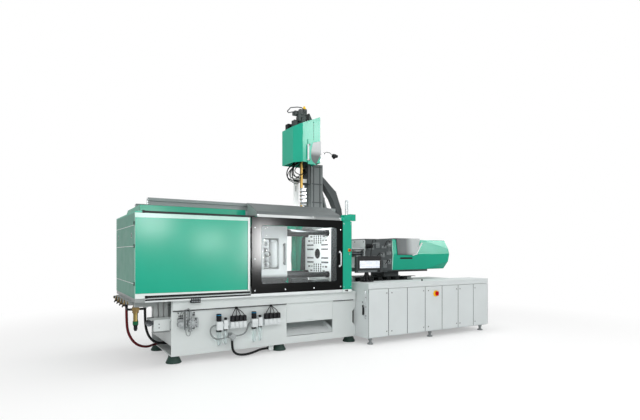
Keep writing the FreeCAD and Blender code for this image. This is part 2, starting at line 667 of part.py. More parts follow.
def end_pan():
    """Floor pan under the overhanging covers, with the water manifold and the service arm."""
    floor = block((COVER_L, BASE_L + 120), (COVER_F + COVER_D, COVER_B - COVER_D),
                  (DECK_Z, COVER_Z0))
    room = block((COVER_L + 4, BASE_L + 116), (COVER_F + COVER_D + 4, COVER_B - COVER_D - 4),
                 (DECK_Z + 4, COVER_Z0 + 1))
    corner = block((COVER_L, COVER_L + 105), (COVER_F, COVER_F + COVER_D), (DECK_Z, COVER_Z0))
    manifold = block((MANIFOLD_X, COVER_L + 40), (-550.0, 480.0), (MANIFOLD_Z0, MANIFOLD_Z1))
    pitch = 230.0
    couplings = [flatted("X", (-500.0 + pitch * i, (MANIFOLD_Z0 + MANIFOLD_Z1) / 2),
                         (FOOTPRINT_L, MANIFOLD_X), 36) for i in range(COUPLING_COUNT)]
    hanger = block((FILTER_X - 30, ARM_L + 20), (ARM_Y - 60, ARM_Y - 52), (720.0, DECK_Z))
    lug = block((FILTER_X - 30, FILTER_X + 30), (ARM_Y - 60, ARM_Y + 40), (742.0, 750.0))
    black_lug = block((-2810.0, -2758.0), (ARM_Y - 60, ARM_Y + 26), (712.0, 720.0))
    arm = block((ARM_L, BASE_L), (ARM_Y - 6, ARM_Y + 50), (390.0, 530.0))
    arm_room = block((ARM_L - 1, BASE_L + 1), (ARM_Y, ARM_Y + 51), (396.0, 524.0))
    tray = block((ARM_L - 55, BASE_L), (ARM_Y - 60, ARM_Y + 40), (555.0, 580.0))
    uprights = [block((x, x + 20), (ARM_Y + 20, ARM_Y + 40), (530.0, 555.0))
                for x in (ARM_L + 10, BASE_L - 60)]
    valves = [block((ARM_L + 10 + 62 * i, ARM_L + 55 + 62 * i), (ARM_Y - 30, ARM_Y + 40),
                    (580.0, DECK_Z)) for i in range(3)]
    arm = arm.cut(arm_room)
    elbow = flatted("Z", (RED_HOSE[0][0], RED_HOSE[0][1]), (RED_HOSE[0][2], 760.0), 26)
    whole = joined(floor.cut(room), corner, manifold, *couplings, elbow, hanger, lug, black_lug,
                   arm, tray, *uprights, *valves)
    return whole.cut(guard_rails())


# ---------------------------------------------------------------- guarding
def guard_columns():
    """Green columns beside the fixed platen, on which the guards close."""
    front = block((COLUMN_L, COLUMN_R), (GUARD_F, GUARD_F + COLUMN_D), (DECK_Z, COVER_Z1))
    hole = rod("Y", (BUTTON_X, BUTTON_Z), (GUARD_F - 1, GUARD_F + 30),
               BUTTON_STEM_D + 2 * RUNNING_GAP)
    box = block((COLUMN_L + 41, COLUMN_R), (GUARD_F + 30, GUARD_F + 110), (COVER_Z1, COVER_Z1 + 100))
    rear = block((REAR_COLUMN_L, COLUMN_R), (REAR_GUARD_B - COLUMN_D, REAR_GUARD_B),
                 (DECK_Z, COVER_Z1))
    t = COLUMN_WALL
    front_room = block((COLUMN_L + t, COLUMN_R - t), (GUARD_F + t, GUARD_F + COLUMN_D - t),
                       (DECK_Z - 1, COVER_Z1 - t))
    rear_room = block((REAR_COLUMN_L + t, COLUMN_R - t),
                      (REAR_GUARD_B - COLUMN_D + t, REAR_GUARD_B - t), (DECK_Z - 1, COVER_Z1 - t))
    return group([joined(front, box).cut([hole, front_room]), rear.cut(rear_room)])


def rounded_window(x, z, y):
    """Window hole with round corners through a guard."""
    hole = block(x, y, z)
    edges = [e for e in hole.Edges if abs(e.BoundBox.YLength - (y[1] - y[0])) < 0.01]
    return hole.makeFillet(WINDOW_CORNER, edges)


def guard_leaf(x, front, window_x, rebate_side):
    """Guard frame with a window hole and a rebate for its pane."""
    y = (front, front + GUARD_T)
    leaf = block(x, y, (GUARD_Z0, GUARD_Z1))
    hole = rounded_window(window_x, (WINDOW_Z0, WINDOW_Z1), (y[0] - 1, y[1] + 1))
    rebate = block((window_x[0] - PANE_LAP, window_x[1] + PANE_LAP), rebate_side,
                   (WINDOW_Z0 - PANE_LAP, WINDOW_Z1 + PANE_LAP))
    return leaf.cut([hole, rebate])


def guard_pane(window_x, y):
    """Clear pane that lies in the guard's rebate."""
    return block((window_x[0] - PANE_LAP, window_x[1] + PANE_LAP), y,
                 (WINDOW_Z0 - PANE_LAP, WINDOW_Z1 + PANE_LAP))


def guard_frame():
    """Sliding front guard, a dark frame round a large window."""
    return guard_leaf((GUARD_L, GUARD_R), GUARD_F, (WINDOW_L, WINDOW_R),
                      (GUARD_F + 10, GUARD_F + GUARD_T + 1))


def guard_window():
    return guard_pane((WINDOW_L, WINDOW_R), (GUARD_F + 10, GUARD_F + 10 + PANE_T))


def rear_guard_frame():
    """Sliding rear guard with its own folded hood, which hangs on the rear beam."""
    leaf = guard_leaf((GUARD_L, REAR_GUARD_R), REAR_GUARD_B - GUARD_T, (WINDOW_L, REAR_WINDOW_R),
                      (REAR_GUARD_B - GUARD_T - 1, REAR_GUARD_B - 10))
    shift = REAR_GUARD_B + GUARD_F
    profile = [(-y + shift, z) if z < BEAM_Z1 else (-y, z) for y, z in hood_profile()]
    return joined(leaf, prism("X", profile, (HOOD_L, HOOD_R)))


def rear_guard_window():
    return guard_pane((WINDOW_L, REAR_WINDOW_R),
                      (REAR_GUARD_B - 10 - PANE_T, REAR_GUARD_B - 10))


def hood_profile():
    """Y and Z of the folded hood: fascia, slope, and the lip that hangs on the beam."""
    t = HOOD_SHEET
    lip = BEAM_Z1 + SEAT_GAP
    outside = [(GUARD_F, GUARD_Z1), (GUARD_F + 25, GUARD_Z1 + 80), (-RAISED_Y - 10, lip + t),
               (-RAISED_Y + BEAM_W, lip + t)]
    inside = [(-RAISED_Y + BEAM_W, lip), (-RAISED_Y - 9, lip), (GUARD_F + 28, GUARD_Z1 + 77),
              (GUARD_F + t, GUARD_Z1)]
    return outside + inside


def guard_hood():
    """Folded steel hood that closes the top and slides with the front guard."""
    return prism("X", hood_profile(), (HOOD_L, HOOD_R))


def guard_handle():
    """Bow handle bolted to the guard frame."""
    bar = HANDLE_BAR
    out = GUARD_F - HANDLE_REACH
    outline = [(GUARD_F, HANDLE_Z0), (GUARD_F, HANDLE_Z0 + bar), (out + bar, HANDLE_Z0 + 35),
               (out + bar, HANDLE_Z1 - 35), (GUARD_F, HANDLE_Z1 - bar), (GUARD_F, HANDLE_Z1),
               (out, HANDLE_Z1 - 28), (out, HANDLE_Z0 + 28)]
    return prism("X", outline, (HANDLE_X - bar / 2, HANDLE_X + bar / 2))


def emergency_button():
    """Mushroom-head push button in the front column, on a hexagon stem."""
    face = GUARD_F - BUTTON_SEAT - BUTTON_TRAVEL
    head = flatted("Y", (BUTTON_X, BUTTON_Z), (face - 14, face), BUTTON_D, 16)
    across = BUTTON_STEM_D * math.cos(math.pi / 6)
    stem = flatted("Y", (BUTTON_X, BUTTON_Z), (face, GUARD_F + 20), across)
    return joined(head, stem)


# ---------------------------------------------------------------- cabinet
def partition_xs():
    """Left faces of the walls between the cabinet's bays: two doors, two, two and one."""
    return [CABINET_L + DOOR_PITCH * n - CABINET_WALL / 2 for n in (2, 4, 6)]


def cabinet_body():
    """Cabinet with four bays, its drives on the back wall, and a lid of two pieces."""
    y = (CABINET_F + DOOR_D + SEAT_GAP, CABINET_B)
    shell = block((CABINET_L, CABINET_R), y, (CABINET_Z, LID_Z0))
    room = block((CABINET_L + CABINET_WALL, CABINET_R - CABINET_WALL),
                 (y[0] - 1, y[1] - CABINET_WALL), (CABINET_Z + CABINET_WALL, LID_Z0 - CABINET_WALL))
    walls = [block((x, x + CABINET_WALL), (y[0], y[1] - CABINET_WALL),
                   (CABINET_Z + CABINET_WALL, LID_Z0 - CABINET_WALL)) for x in partition_xs()]
    drives = []
    starts = [CABINET_L + CABINET_WALL] + [x + CABINET_WALL for x in partition_xs()]
    ends = partition_xs() + [CABINET_R - CABINET_WALL]
    for left, right in zip(starts, ends):
        count = 3 if right - left > 500 else 1
        width = (right - left - 60) / count
        for i in range(count):
            x = left + 30 + width * i
            drive_y = (CABINET_B - CABINET_WALL - RACK_D, CABINET_B - CABINET_WALL)
            casing = block((x + 10, x + width - 10), drive_y, (CABINET_Z + 150, LID_Z0 - 130))
            inside = block((x + 14, x + width - 14), (drive_y[0] + 4, drive_y[1]),
                           (CABINET_Z + 149, LID_Z0 - 134))
            drives.append(casing.cut(inside))
    split = CABINET_L + 4 * DOOR_PITCH
    lids = [block(x, (CABINET_F, CABINET_B), (LID_Z0, LID_Z1))
            for x in ((CABINET_L, split), (split, CABINET_R))]
    groove = block((split - 2, split + 2), (CABINET_F - 1, CABINET_F + 4), (LID_Z0, LID_Z1 + 1))
    slot = prism("Y", [(CABINET_L - 1, 425.0), (CABINET_L + 8, 440.0), (CABINET_L + 8, 520.0),
                       (CABINET_L - 1, 535.0)], (CABINET_F + 95, CABINET_F + 135))
    lid_room = block((CABINET_L + LID_SHEET, CABINET_R - LID_SHEET),
                     (CABINET_F + LID_SHEET, CABINET_B - CABINET_WALL),
                     (LID_Z0 - CABINET_WALL - 1, LID_Z1 - LID_SHEET))
    return joined(shell.cut([room, slot]), *walls, *drives, *lids).cut([groove, lid_room])


def cabinet_door(n):
    """Door number n from the left, a folded pan. The fourth carries the main switch's plate."""
    left = CABINET_L + DOOR_PITCH * (n - 1)
    x = (left + DOOR_GAP / 2, left + DOOR_PITCH - DOOR_GAP / 2)
    door = pan(x, (CABINET_F, CABINET_F + DOOR_D), (DOOR_Z0, DOOR_Z1), "+Y")
    if n != 4:
        return door
    plate = block((SWITCH_X - 33, SWITCH_X + 33), (CABINET_F - 3, CABINET_F + 1),
                  (SWITCH_Z - 33, SWITCH_Z + 33))
    hole = rod("Y", (SWITCH_X, SWITCH_Z), (CABINET_F - 4, CABINET_F + DOOR_D),
               SWITCH_SHAFT_D + 2 * SWIVEL_GAP)
    return joined(door, plate).cut(hole)


def main_switch():
    """Rotary handle of the main switch, on the fourth door."""
    face = CABINET_F - 3 - SEAT_GAP
    disc = flatted("Y", (SWITCH_X, SWITCH_Z), (face - 10, face), SWITCH_D, 16)
    grip = block((SWITCH_X - 8, SWITCH_X + 8), (CABINET_F - SWITCH_PROUD, face - 9),
                 (SWITCH_Z - SWITCH_D / 2 + 2, SWITCH_Z + SWITCH_D / 2 - 2))
    half = SWITCH_SHAFT_D / 2 / math.sqrt(2)
    shaft = block((SWITCH_X - half, SWITCH_X + half), (face, CABINET_F + 16),
                  (SWITCH_Z - half, SWITCH_Z + half))
    return joined(disc, grip, shaft)


# ---------------------------------------------------------------- horizontal injection unit
def injection_base():
    """Welded base behind the cabinet, open underneath, with the unit's rails on top."""
    shell = block((CABINET_L, CABINET_R), (CABINET_B, INJ_BASE_B), (CABINET_Z, INJ_BASE_Z))
    room = block((CABINET_L + BASE_WALL, CABINET_R - BASE_WALL),
                 (CABINET_B + BASE_WALL, INJ_BASE_B - BASE_WALL),
                 (CABINET_Z - 1, INJ_BASE_Z - BASE_WALL))
    rails = [block((INJ_RAIL_L, INJ_RAIL_R), (y - INJ_RAIL_W / 2, y + INJ_RAIL_W / 2),
                   (INJ_BASE_Z, INJ_RAIL_Z)) for y in (-INJ_RAIL_Y, INJ_RAIL_Y)]
    pads = [block((x - 60, x + 60), (INJ_BASE_B - 150, INJ_BASE_B - 30),
                  (CABINET_Z, CABINET_Z + BASE_WALL))
            for x in (CABINET_L + 100, (CABINET_L + CABINET_R) / 2, CABINET_R - 100)]
    pads = [joined(pad, block((pad.BoundBox.XMin, pad.BoundBox.XMax),
                              (INJ_BASE_B - 150, INJ_BASE_B - BASE_WALL),
                              (CABINET_Z, CABINET_Z + BASE_WALL))) for pad in pads]
    return joined(shell.cut(room), *rails, *pads)


def travel_rods():
    """Rods fixed in the fixed platen, along which the injection unit is drawn to the mould."""
    return group([rod("X", (y, AXIS_Z), (FIXED_PLATEN_T, TRAVEL_ROD_END), TRAVEL_ROD_D)
                  for y in (-TRAVEL_ROD_Y, TRAVEL_ROD_Y)])


def injection_carriage():
    """Carriage with the bulkhead that holds the barrel, on a pedestal over the rails."""
    shell = block((CARRIAGE_L, CARRIAGE_R), (-CARRIAGE_Y, CARRIAGE_Y), (CARRIAGE_Z0, CARRIAGE_Z1))
    room = block((CARRIAGE_L + BULKHEAD_T, CARRIAGE_R + 1),
                 (-CARRIAGE_Y + CARRIAGE_WALL, CARRIAGE_Y - CARRIAGE_WALL),
                 (CARRIAGE_Z0 + CARRIAGE_WALL, CARRIAGE_Z1 - CARRIAGE_WALL))
    through = (CARRIAGE_L - 1, CARRIAGE_L + BULKHEAD_T + 1)
    barrel = rod("X", (0, AXIS_Z), through, BARREL_D)
    rods = [rod("X", (y, AXIS_Z), through, TRAVEL_ROD_D + 2 * RUNNING_GAP)
            for y in (-TRAVEL_ROD_Y, TRAVEL_ROD_Y)]
    pedestal = block((PEDESTAL_L, PEDESTAL_R), (-INJ_RAIL_Y - INJ_RAIL_W / 2, INJ_RAIL_Y + INJ_RAIL_W / 2),
                     (INJ_RAIL_Z + SEAT_GAP, CARRIAGE_Z0))
    tray = block((CARRIAGE_L, TRAY_R), (-CARRIAGE_Y + 20, CARRIAGE_Y - 20),
                 (CARRIAGE_Z0 - TRAY_T, CARRIAGE_Z0))
    bed_z = AXIS_Z - DRIVE_W / 2 - SEAT_GAP
    beds = [block((CARRIAGE_L + BULKHEAD_T, CARRIAGE_R), (y - 25, y + 25),
                  (CARRIAGE_Z0 + CARRIAGE_WALL, bed_z)) for y in (-100.0, 100.0)]
    return joined(shell.cut([room, barrel] + rods), pedestal, tray, *beds)


def injection_barrel():
    """Plasticising barrel with its nozzle, bored for the screw."""
    body_x = NOZZLE_TIP_X + NOZZLE_L
    end_x = CARRIAGE_L + BULKHEAD_T
    barrel = turned("X", (0, AXIS_Z), [
        (NOZZLE_TIP_X, NOZZLE_D / 2), (body_x, NOZZLE_D / 2), (body_x, BARREL_D / 2),
        (end_x, BARREL_D / 2)])
    screw_bore = rod("X", (0, AXIS_Z), (body_x + BARREL_HEAD_T, end_x + 1),
                     SCREW_D + 2 * RUNNING_GAP)
    return barrel.cut(screw_bore)


def injection_screw():
    """Screw with its tip, its flighted length drawn plain, and the journal in the drive."""
    tip = NOZZLE_TIP_X + NOZZLE_L + BARREL_HEAD_T + SCREW_END_GAP + PLUNGE
    end_x = CARRIAGE_L + BULKHEAD_T
    return turned("X", (0, AXIS_Z), [
        (tip, SCREW_D / 2), (end_x, SCREW_D / 2), (end_x, SCREW_D / 2 - 3),
        (DRIVE_X + DRIVE_T + 20, SCREW_D / 2 - 3)])


def injection_drive():
    """Pressure plate and motor that push and turn the screw."""
    half = DRIVE_W / 2
    plate = block((DRIVE_X, DRIVE_X + DRIVE_T), (-half, half), (AXIS_Z - half, AXIS_Z + half))
    motor = rod("X", (0, AXIS_Z), (DRIVE_X + DRIVE_T, DRIVE_X + DRIVE_T + MOTOR_L), MOTOR_D)
    bore = rod("X", (0, AXIS_Z), (DRIVE_X - 1, DRIVE_X + DRIVE_T + 30), SCREW_D - 6 + 2 * SWIVEL_GAP)
    return joined(plate, motor).cut(bore)


def injection_cover_outline(inset):
    """Y and Z of the green cover, ridged along its sides."""
    foot, ridge, top = [w - inset for w in INJ_COVER_Y]
    z0, z1 = CARRIAGE_Z0 + inset, CARRIAGE_Z1 - inset
    right = [(foot, z0), (ridge, COVER_RIDGE_Z), (top, z1)]
    return right + [(-y, z) for y, z in reversed(right)]


def injection_cover_solid(inset, x):
    """The cover's outer form, its end drawn to a ridge."""
    solid = prism("X", injection_cover_outline(inset), x)
    wide = max(INJ_COVER_Y) + 10
    for level in (CARRIAGE_Z0, CARRIAGE_Z1):
        past = level + (10 if level > COVER_RIDGE_Z else -10)
        wedge = prism("Y", [(x[1], COVER_RIDGE_Z), (x[1] + 10, COVER_RIDGE_Z), (x[1] + 10, past),
                            (x[1] - END_FACET, past)], (-wide, wide))
        solid = solid.cut(wedge)
    return solid


def injection_cover():
    """Green housing over the injection drive, open towards the carriage."""
    outer = injection_cover_solid(0, (CARRIAGE_R, INJ_COVER_R))
    inner = injection_cover_solid(INJ_COVER_WALL, (CARRIAGE_R - 1, INJ_COVER_R - INJ_COVER_WALL))
    slot = block((1510.0, 1790.0), (-INJ_COVER_Y[1] - 5, -INJ_COVER_Y[1] + 40), (1262.0, 1282.0))
    return outer.cut([inner, slot])


def injection_hood():
    """Dark cap over the front and top of the green cover, at the feed end."""
    left, right_low, right, left_top = HOOD_X
    drop = 1330.0
    blank = block((left_top, right), (-INJ_COVER_Y[1] - 15, 200.0), (drop, CARRIAGE_Z1 + 22))
    front_cut = prism("Y", [(right_low, drop), (right + 1, CARRIAGE_Z1), (right + 1, drop)],
                      (-400.0, 0.0))
    side_cut = prism("Y", [(left_top - 1, drop - 1), (left_top - 1, CARRIAGE_Z1), (left, drop - 1)],
                     (-400.0, 0.0))
    slope = prism("X", [(-INJ_COVER_Y[1] - 16, COVER_RIDGE_Z), (-INJ_COVER_Y[2] - 15, CARRIAGE_Z1 + 23),
                        (-INJ_COVER_Y[1] - 16, CARRIAGE_Z1 + 23)], (left_top - 1, right + 1))
    cover = injection_cover_solid(0, (CARRIAGE_R, INJ_COVER_R))
    return blank.cut([cover, front_cut, side_cut, slope])


# ---------------------------------------------------------------- vertical injection unit
def vertical_column():
    """Tower on the fixed platen, with its platform, its strut and the unit's rails."""
    z0 = AXIS_Z + PLATEN_R
    z1 = z0 + PLATFORM_T
    platform = block((PLATFORM_L, PLATFORM_R), (PLATFORM_F, PLATFORM_B), (z0, z1))
    gusset = prism("Y", [(FIXED_PLATEN_T, z0 - 150), (FIXED_PLATEN_T, z0), (PLATFORM_R - 40, z0)],
                   (TOWER_F, TOWER_F + 20))
    tower = block((TOWER_L, TOWER_R), (TOWER_F, TOWER_B), (z1, TOWER_Z))
    core = block((TOWER_L + TOWER_WALL, TOWER_R - TOWER_WALL),
                 (TOWER_F + TOWER_WALL, TOWER_B - TOWER_WALL), (z1, TOWER_Z + 1))
    rail_z = (V_CARRIAGE_Z0 - V_STROKE - 60, TOWER_Z)
    rails = [block((TOWER_L - TOWER_RAIL_T, TOWER_L), (y, y + TOWER_RAIL_W), rail_z)
             for y in (TOWER_F + 25, TOWER_B - 65 - TOWER_RAIL_W)]
    strut = prism("Y", [(TOWER_R, 2530.0), (TOWER_R, 2450.0), (300.0, z1), (350.0, z1)],
                  (100.0, 100.0 + STRUT_W))
    tie = block((TOWER_R, 205.0), (100.0, 100.0 + STRUT_W), (2250.0, 2285.0))
    return joined(platform, tower.cut(core), gusset, strut, tie, *rails)


def cable_duct():
    """Duct for the vertical unit's lines, from the tower down to the platform."""
    foot = AXIS_Z + PLATEN_R + PLATFORM_T
    outline = [(TOWER_R, 2655.0), (400.0, 2400.0), (520.0, 2100.0), (560.0, foot),
               (470.0, foot), (430.0, 2060.0), (330.0, 2270.0), (TOWER_R, 2560.0)]
    return prism("Y", outline, (DUCT_F, DUCT_B)).cut(
        prism("Y", [(TOWER_R, 2400.0), (TOWER_R, 2590.0), (150.0, 2559.0), (150.0, 2400.0)],
              (99.0, 101.0 + STRUT_W)))


def vertical_cover_outline(inset):
    """X and Y of the vertical unit's cover, with its chamfered front left corner."""
    l, r = V_COVER_L + inset, V_COVER_R - inset
    f, b = V_COVER_F + inset, V_COVER_B - inset
    ease = inset * 0.4
    return [(l, b), (l, V_COVER_F + V_CHAMFER_Y + ease), (V_COVER_L + V_CHAMFER_X + ease, f),
            (r, f), (r, b)]


def above_slanted_top(drop):
    """Block over the cover's slanted top edge, lowered by drop."""
    reach = 50.0
    run = V_COVER_R - V_COVER_L
    rise = (V_COVER_TOP_R - V_COVER_TOP_L) / run
    left_z = V_COVER_TOP_L - rise * reach - drop
    right_z = V_COVER_TOP_R + rise * reach - drop
    x0, x1 = V_COVER_L - reach, V_COVER_R + reach
    over = V_BLANK_Z + reach
    return prism("Y", [(x0, left_z), (x1, right_z), (x1, over), (x0, over)],
                 (V_COVER_F - reach, V_COVER_B + reach))


def vertical_cover():
    """Green sheet cover of the vertical unit, open below and towards the tower."""
    outer = prism("Z", vertical_cover_outline(0), (V_COVER_Z0, V_BLANK_Z)).cut(above_slanted_top(0))
    inner = prism("Z", vertical_cover_outline(V_WALL), (V_COVER_Z0 - 1, V_BLANK_Z))
    inner = inner.cut(above_slanted_top(V_WALL))
    tower_side = block((V_COVER_R - V_WALL - 1, V_COVER_R + 1), (TOWER_F - 15, V_COVER_B + 1),
                       (V_COVER_Z0 - 1, V_BLANK_Z))
    half = V_MOTOR_W / 2 + 15
    under_top = min(V_COVER_TOP_L, V_COVER_TOP_R) - 3 * V_WALL
    top_hole = block((VERTICAL_X - half, VERTICAL_X + half), (-half, half), (under_top, V_BLANK_Z))
    return outer.cut([inner, tower_side, top_hole])


def vertical_dark_cover():
    """Dark cap on the lower right of the vertical unit's cover, turned round its edge."""
    front = (V_COVER_F - 10, V_COVER_F)
    x0, x1 = V_COVER_R - 222, V_COVER_R + 8
    face = prism("Y", [(x0, 2795.0), (x0 + 35, 3060.0), (x1, 3110.0), (x1, 2905.0), (x1 - 90, 2745.0),
                       (x0 + 25, 2735.0)], front)
    side = prism("X", [(front[0], 3110.0), (-20.0, 3060.0), (-20.0, 2960.0), (front[0], 2905.0)],
                 (V_COVER_R, V_COVER_R + 8))
    return joined(face, side)


def vertical_carriage():
    """Slide on the tower's rails, with the arm and flange that hold the vertical barrel."""
    x1 = TOWER_L - TOWER_RAIL_T - SEAT_GAP
    plate = block((x1 - V_CARRIAGE_T, x1), (TOWER_F, TOWER_B - 40),
                  (V_CARRIAGE_Z0, V_CARRIAGE_Z1))
    arm = block((VERTICAL_X - 90, x1 - V_CARRIAGE_T), (-90.0, TOWER_B - 60),
                (V_FLANGE_Z, V_FLANGE_Z + V_FLANGE_T))
    stem = block((x1 - V_CARRIAGE_T - 60, x1 - V_CARRIAGE_T), (100.0, TOWER_B - 60),
                 (V_FLANGE_Z + V_FLANGE_T, V_CARRIAGE_Z1))
    barrel = rod("Z", (VERTICAL_X, 0), (V_FLANGE_Z - 1, V_FLANGE_Z + V_FLANGE_T + 1), V_BARREL_D)
    bracket = block((V_COVER_L + V_WALL, VERTICAL_X - 90), (-40.0, 40.0),
                    (V_FLANGE_Z, V_FLANGE_Z + 30))
    front = block((VERTICAL_X - 40, VERTICAL_X + 40), (V_COVER_F + V_WALL, -90.0),
                  (V_FLANGE_Z, V_FLANGE_Z + 30))
    return joined(plate, arm, stem, bracket, front).cut(barrel)


def vertical_barrel():
    """Vertical barrel and its long nozzle."""
    top = V_FLANGE_Z + V_FLANGE_T
    tip = V_BARREL_Z0 - V_NOZZLE_L
    barrel = turned("Z", (VERTICAL_X, 0), [
        (tip, V_NOZZLE_D / 2), (V_BARREL_Z0, V_NOZZLE_D / 2),
        (V_BARREL_Z0, V_BARREL_D / 2), (top, V_BARREL_D / 2)])
    bore = rod("Z", (VERTICAL_X, 0), (V_BARREL_Z0 - 150, top + 1), V_SCREW_D + 2 * RUNNING_GAP)
    return barrel.cut(bore)


def vertical_screw():
    """Screw of the vertical unit, drawn plain, with its journal in the drive."""
    tip = V_BARREL_Z0 - 150 + V_PLUNGE + 10
    top = V_FLANGE_Z + V_FLANGE_T
    return turned("Z", (VERTICAL_X, 0), [
        (tip, V_SCREW_D / 2), (top, V_SCREW_D / 2),
        (top, V_SCREW_D / 2 - 2), (V_DRIVE_Z + V_DRIVE_T + 20, V_SCREW_D / 2 - 2)])


def vertical_drive():
    """Pressure plate and dark motor on top of the vertical unit."""
    half = V_MOTOR_W / 2
    plate = block((VERTICAL_X - 80, VERTICAL_X + 80), (-80.0, 80.0), (V_DRIVE_Z, V_DRIVE_Z + V_DRIVE_T))
    body = rod("Z", (VERTICAL_X, 0), (V_DRIVE_Z + V_DRIVE_T, 3390.0), 150)
    head = prism("Y", [(VERTICAL_X - half, 3390.0), (VERTICAL_X + half, 3390.0),
                       (VERTICAL_X + half, 3480.0), (VERTICAL_X + half - 45, V_MOTOR_Z),
                       (VERTICAL_X - half + 20, V_MOTOR_Z), (VERTICAL_X - half, 3580.0)],
                 (-half + 10, half - 10))
    bore = rod("Z", (VERTICAL_X, 0), (V_DRIVE_Z - 1, V_DRIVE_Z + V_DRIVE_T + 30),
               V_SCREW_D - 4 + 2 * SWIVEL_GAP)
    slide_x = TOWER_L - TOWER_RAIL_T - SEAT_GAP - V_CARRIAGE_T - SEAT_GAP
    guide = block((VERTICAL_X + 79, slide_x), (-60.0, 80.0), (V_DRIVE_Z, V_DRIVE_Z + V_DRIVE_T))
    return joined(plate, body, head, guide).cut(bore)


# ---------------------------------------------------------------- operator terminal
def terminal_arm():
    """Post on the cabinet's lid, with the collar on which the terminal turns."""
    plate = block((POST_X - 90, POST_X + 90), (POST_Y - 60, POST_Y + 60), (LID_Z1, LID_Z1 + 12))
    post = rod("Z", (POST_X, POST_Y), (LID_Z1 + 12, POST_TOP), POST_D)
    collar = flatted("Z", (POST_X, POST_Y), (COLLAR_Z - 20, COLLAR_Z), POST_D + 12, 8)
    stay = prism("Y", [(POST_X - 85, LID_Z1 + 12), (POST_X - 55, LID_Z1 + 12), (POST_X, COLLAR_Z - 60),
                       (POST_X, COLLAR_Z - 20)], (POST_Y - 6, POST_Y + 6))
    return joined(plate, post, collar, stay)


def terminal():
    """Operator terminal: housing, screen recess, key strip, and the socket on the post."""
    y = (TERMINAL_F, TERMINAL_F + TERMINAL_T)
    housing = block((TERMINAL_L, TERMINAL_R), y, (TERMINAL_Z0, TERMINAL_Z1))
    screen = block((TERMINAL_L + 55, TERMINAL_R - 45), (y[0] - 1, y[0] + 5),
                   (TERMINAL_Z0 + 62, TERMINAL_Z1 - 60))
    step = prism("X", [(y[0] - 1, TERMINAL_Z0 - 1), (y[0] - 1, TERMINAL_Z0 + 48),
                       (y[0] + 12, TERMINAL_Z0 + 40), (y[0] + 12, TERMINAL_Z0 - 1)],
                 (TERMINAL_L - 1, TERMINAL_R + 1))
    socket = block((POST_X - 34, POST_X + 34), (y[1] - 1, POST_Y + 34),
                   (COLLAR_Z + SEAT_GAP, COLLAR_Z + 80))
    bore = rod("Z", (POST_X, POST_Y), (COLLAR_Z, COLLAR_Z + 81), POST_D + 2 * SWIVEL_GAP)
    return joined(housing.cut([screen, step]), socket).cut(bore)


# ---------------------------------------------------------------- services
def lubrication_unit():
    """Central lubrication pump with its valve body, on the front of the base."""
    face = BASE_F
    plate = block((-2440.0, -2215.0), (face - 8, face), (430.0, 640.0))
    pump = flatted("Y", (-2405.0, 488.0), (face - 75, face - 8), 74, 8)
    rib = block((-2352.0, -2338.0), (face - 90, face - 8), (420.0, 650.0))
    valve = flatted("Y", (-2272.0, 500.0), (face - 105, face - 8), 108, 12)
    flange = block((-2218.0, -2196.0), (face - 85, face), (445.0, 560.0))
    elbow = flatted("Z", (-2285.0, face - 45), (540.0, 648.0), 42)
    ring = flatted("Z", (-2285.0, face - 45), (395.0, 460.0), 50)
    return joined(plate, pump, rib, valve, flange, elbow, ring)


def air_service_unit(knob_x, filter_x, island_x, count):
    """Regulator and filter with clear bowls, and the valve island beside them."""
    bowl_w = 42.0
    mount = block((knob_x - 30, island_x[1]), (AIR_PLATE_F, BASE_F), (405.0, 500.0))
    regulator = block((knob_x - 35, knob_x + 40), (AIR_Y - 42, AIR_PLATE_F), (390.0, 497.0))
    knob = flatted("Z", (knob_x, AIR_Y), (497.0, 592.0), 66, 8)
    collar = flatted("Z", (knob_x, AIR_Y), (364.0, 390.0), 66, 8)
    bowl = flatted("Z", (knob_x, AIR_Y), (190.0, 364.0), bowl_w, 12)
    clean = block((filter_x - 27, filter_x + 27), (AIR_Y - 30, AIR_PLATE_F), (394.0, 510.0))
    clean_bowl = flatted("Z", (filter_x, AIR_Y), (197.0, 394.0), bowl_w, 12)
    bridge = block((knob_x + 40, filter_x - 27), (AIR_Y - 15, AIR_PLATE_F), (430.0, 470.0))
    width = (island_x[1] - island_x[0]) / count
    rail = block(island_x, (AIR_Y + 10, AIR_PLATE_F), (388.0, 480.0))
    link = block((filter_x + 27, island_x[0]), (AIR_Y + 20, AIR_PLATE_F), (430.0, 470.0))
    valves = [block((island_x[0] + width * i + 3, island_x[0] + width * (i + 1) - 3),
                    (AIR_Y - 30, AIR_Y + 10), (400.0, 480.0)) for i in range(count)]
    coils = [block((island_x[0] + width * i + 7, island_x[0] + width * (i + 1) - 7),
                   (AIR_Y - 34, AIR_Y + 30), (480.0, 556.0)) for i in range(count)]
    return joined(mount, regulator, knob, collar, bowl, clean, clean_bowl, bridge, rail, link,
                  *valves, *coils)


def air_service_units():
    """Two air service units side by side on the front of the base."""
    return group([air_service_unit(-1932.0, -1845.0, (-1783.0, -1563.0), 4),
                  air_service_unit(-1455.0, -1370.0, (-1310.0, -1072.0), 4)])


def hose_manifold():
    """Round fitting on a bracket, from which the air hoses part."""
    bracket = block((-1790.0, -1730.0), (AIR_PLATE_F - 6, BASE_F), (262.0, 330.0))
    body = flatted("Y", (-1757.0, 294.0), (AIR_Y - 48, AIR_PLATE_F - 6), 74, 8)
    stub = flatted("Z", (-1757.0, AIR_Y), (238.0, 270.0), 34)
    left = flatted("X", (AIR_Y - 32, 294.0), (-1812.0, -1780.0), 26)
    right = flatted("X", (AIR_Y, 294.0), (-1735.0, -1702.0), 26)
    return joined(bracket, body, stub, left, right)


def water_filter():
    """Cooling water filter: hexagon brass head and dark bowl, hung under the end pan."""
    centre = (FILTER_X, FILTER_Y)
    bowl = rod("Z", centre, (432.0, 640.0), FILTER_D - 22)
    head = flatted("Z", centre, (640.0, 742.0), FILTER_D * math.cos(math.pi / 6))
    return joined(bowl, head)


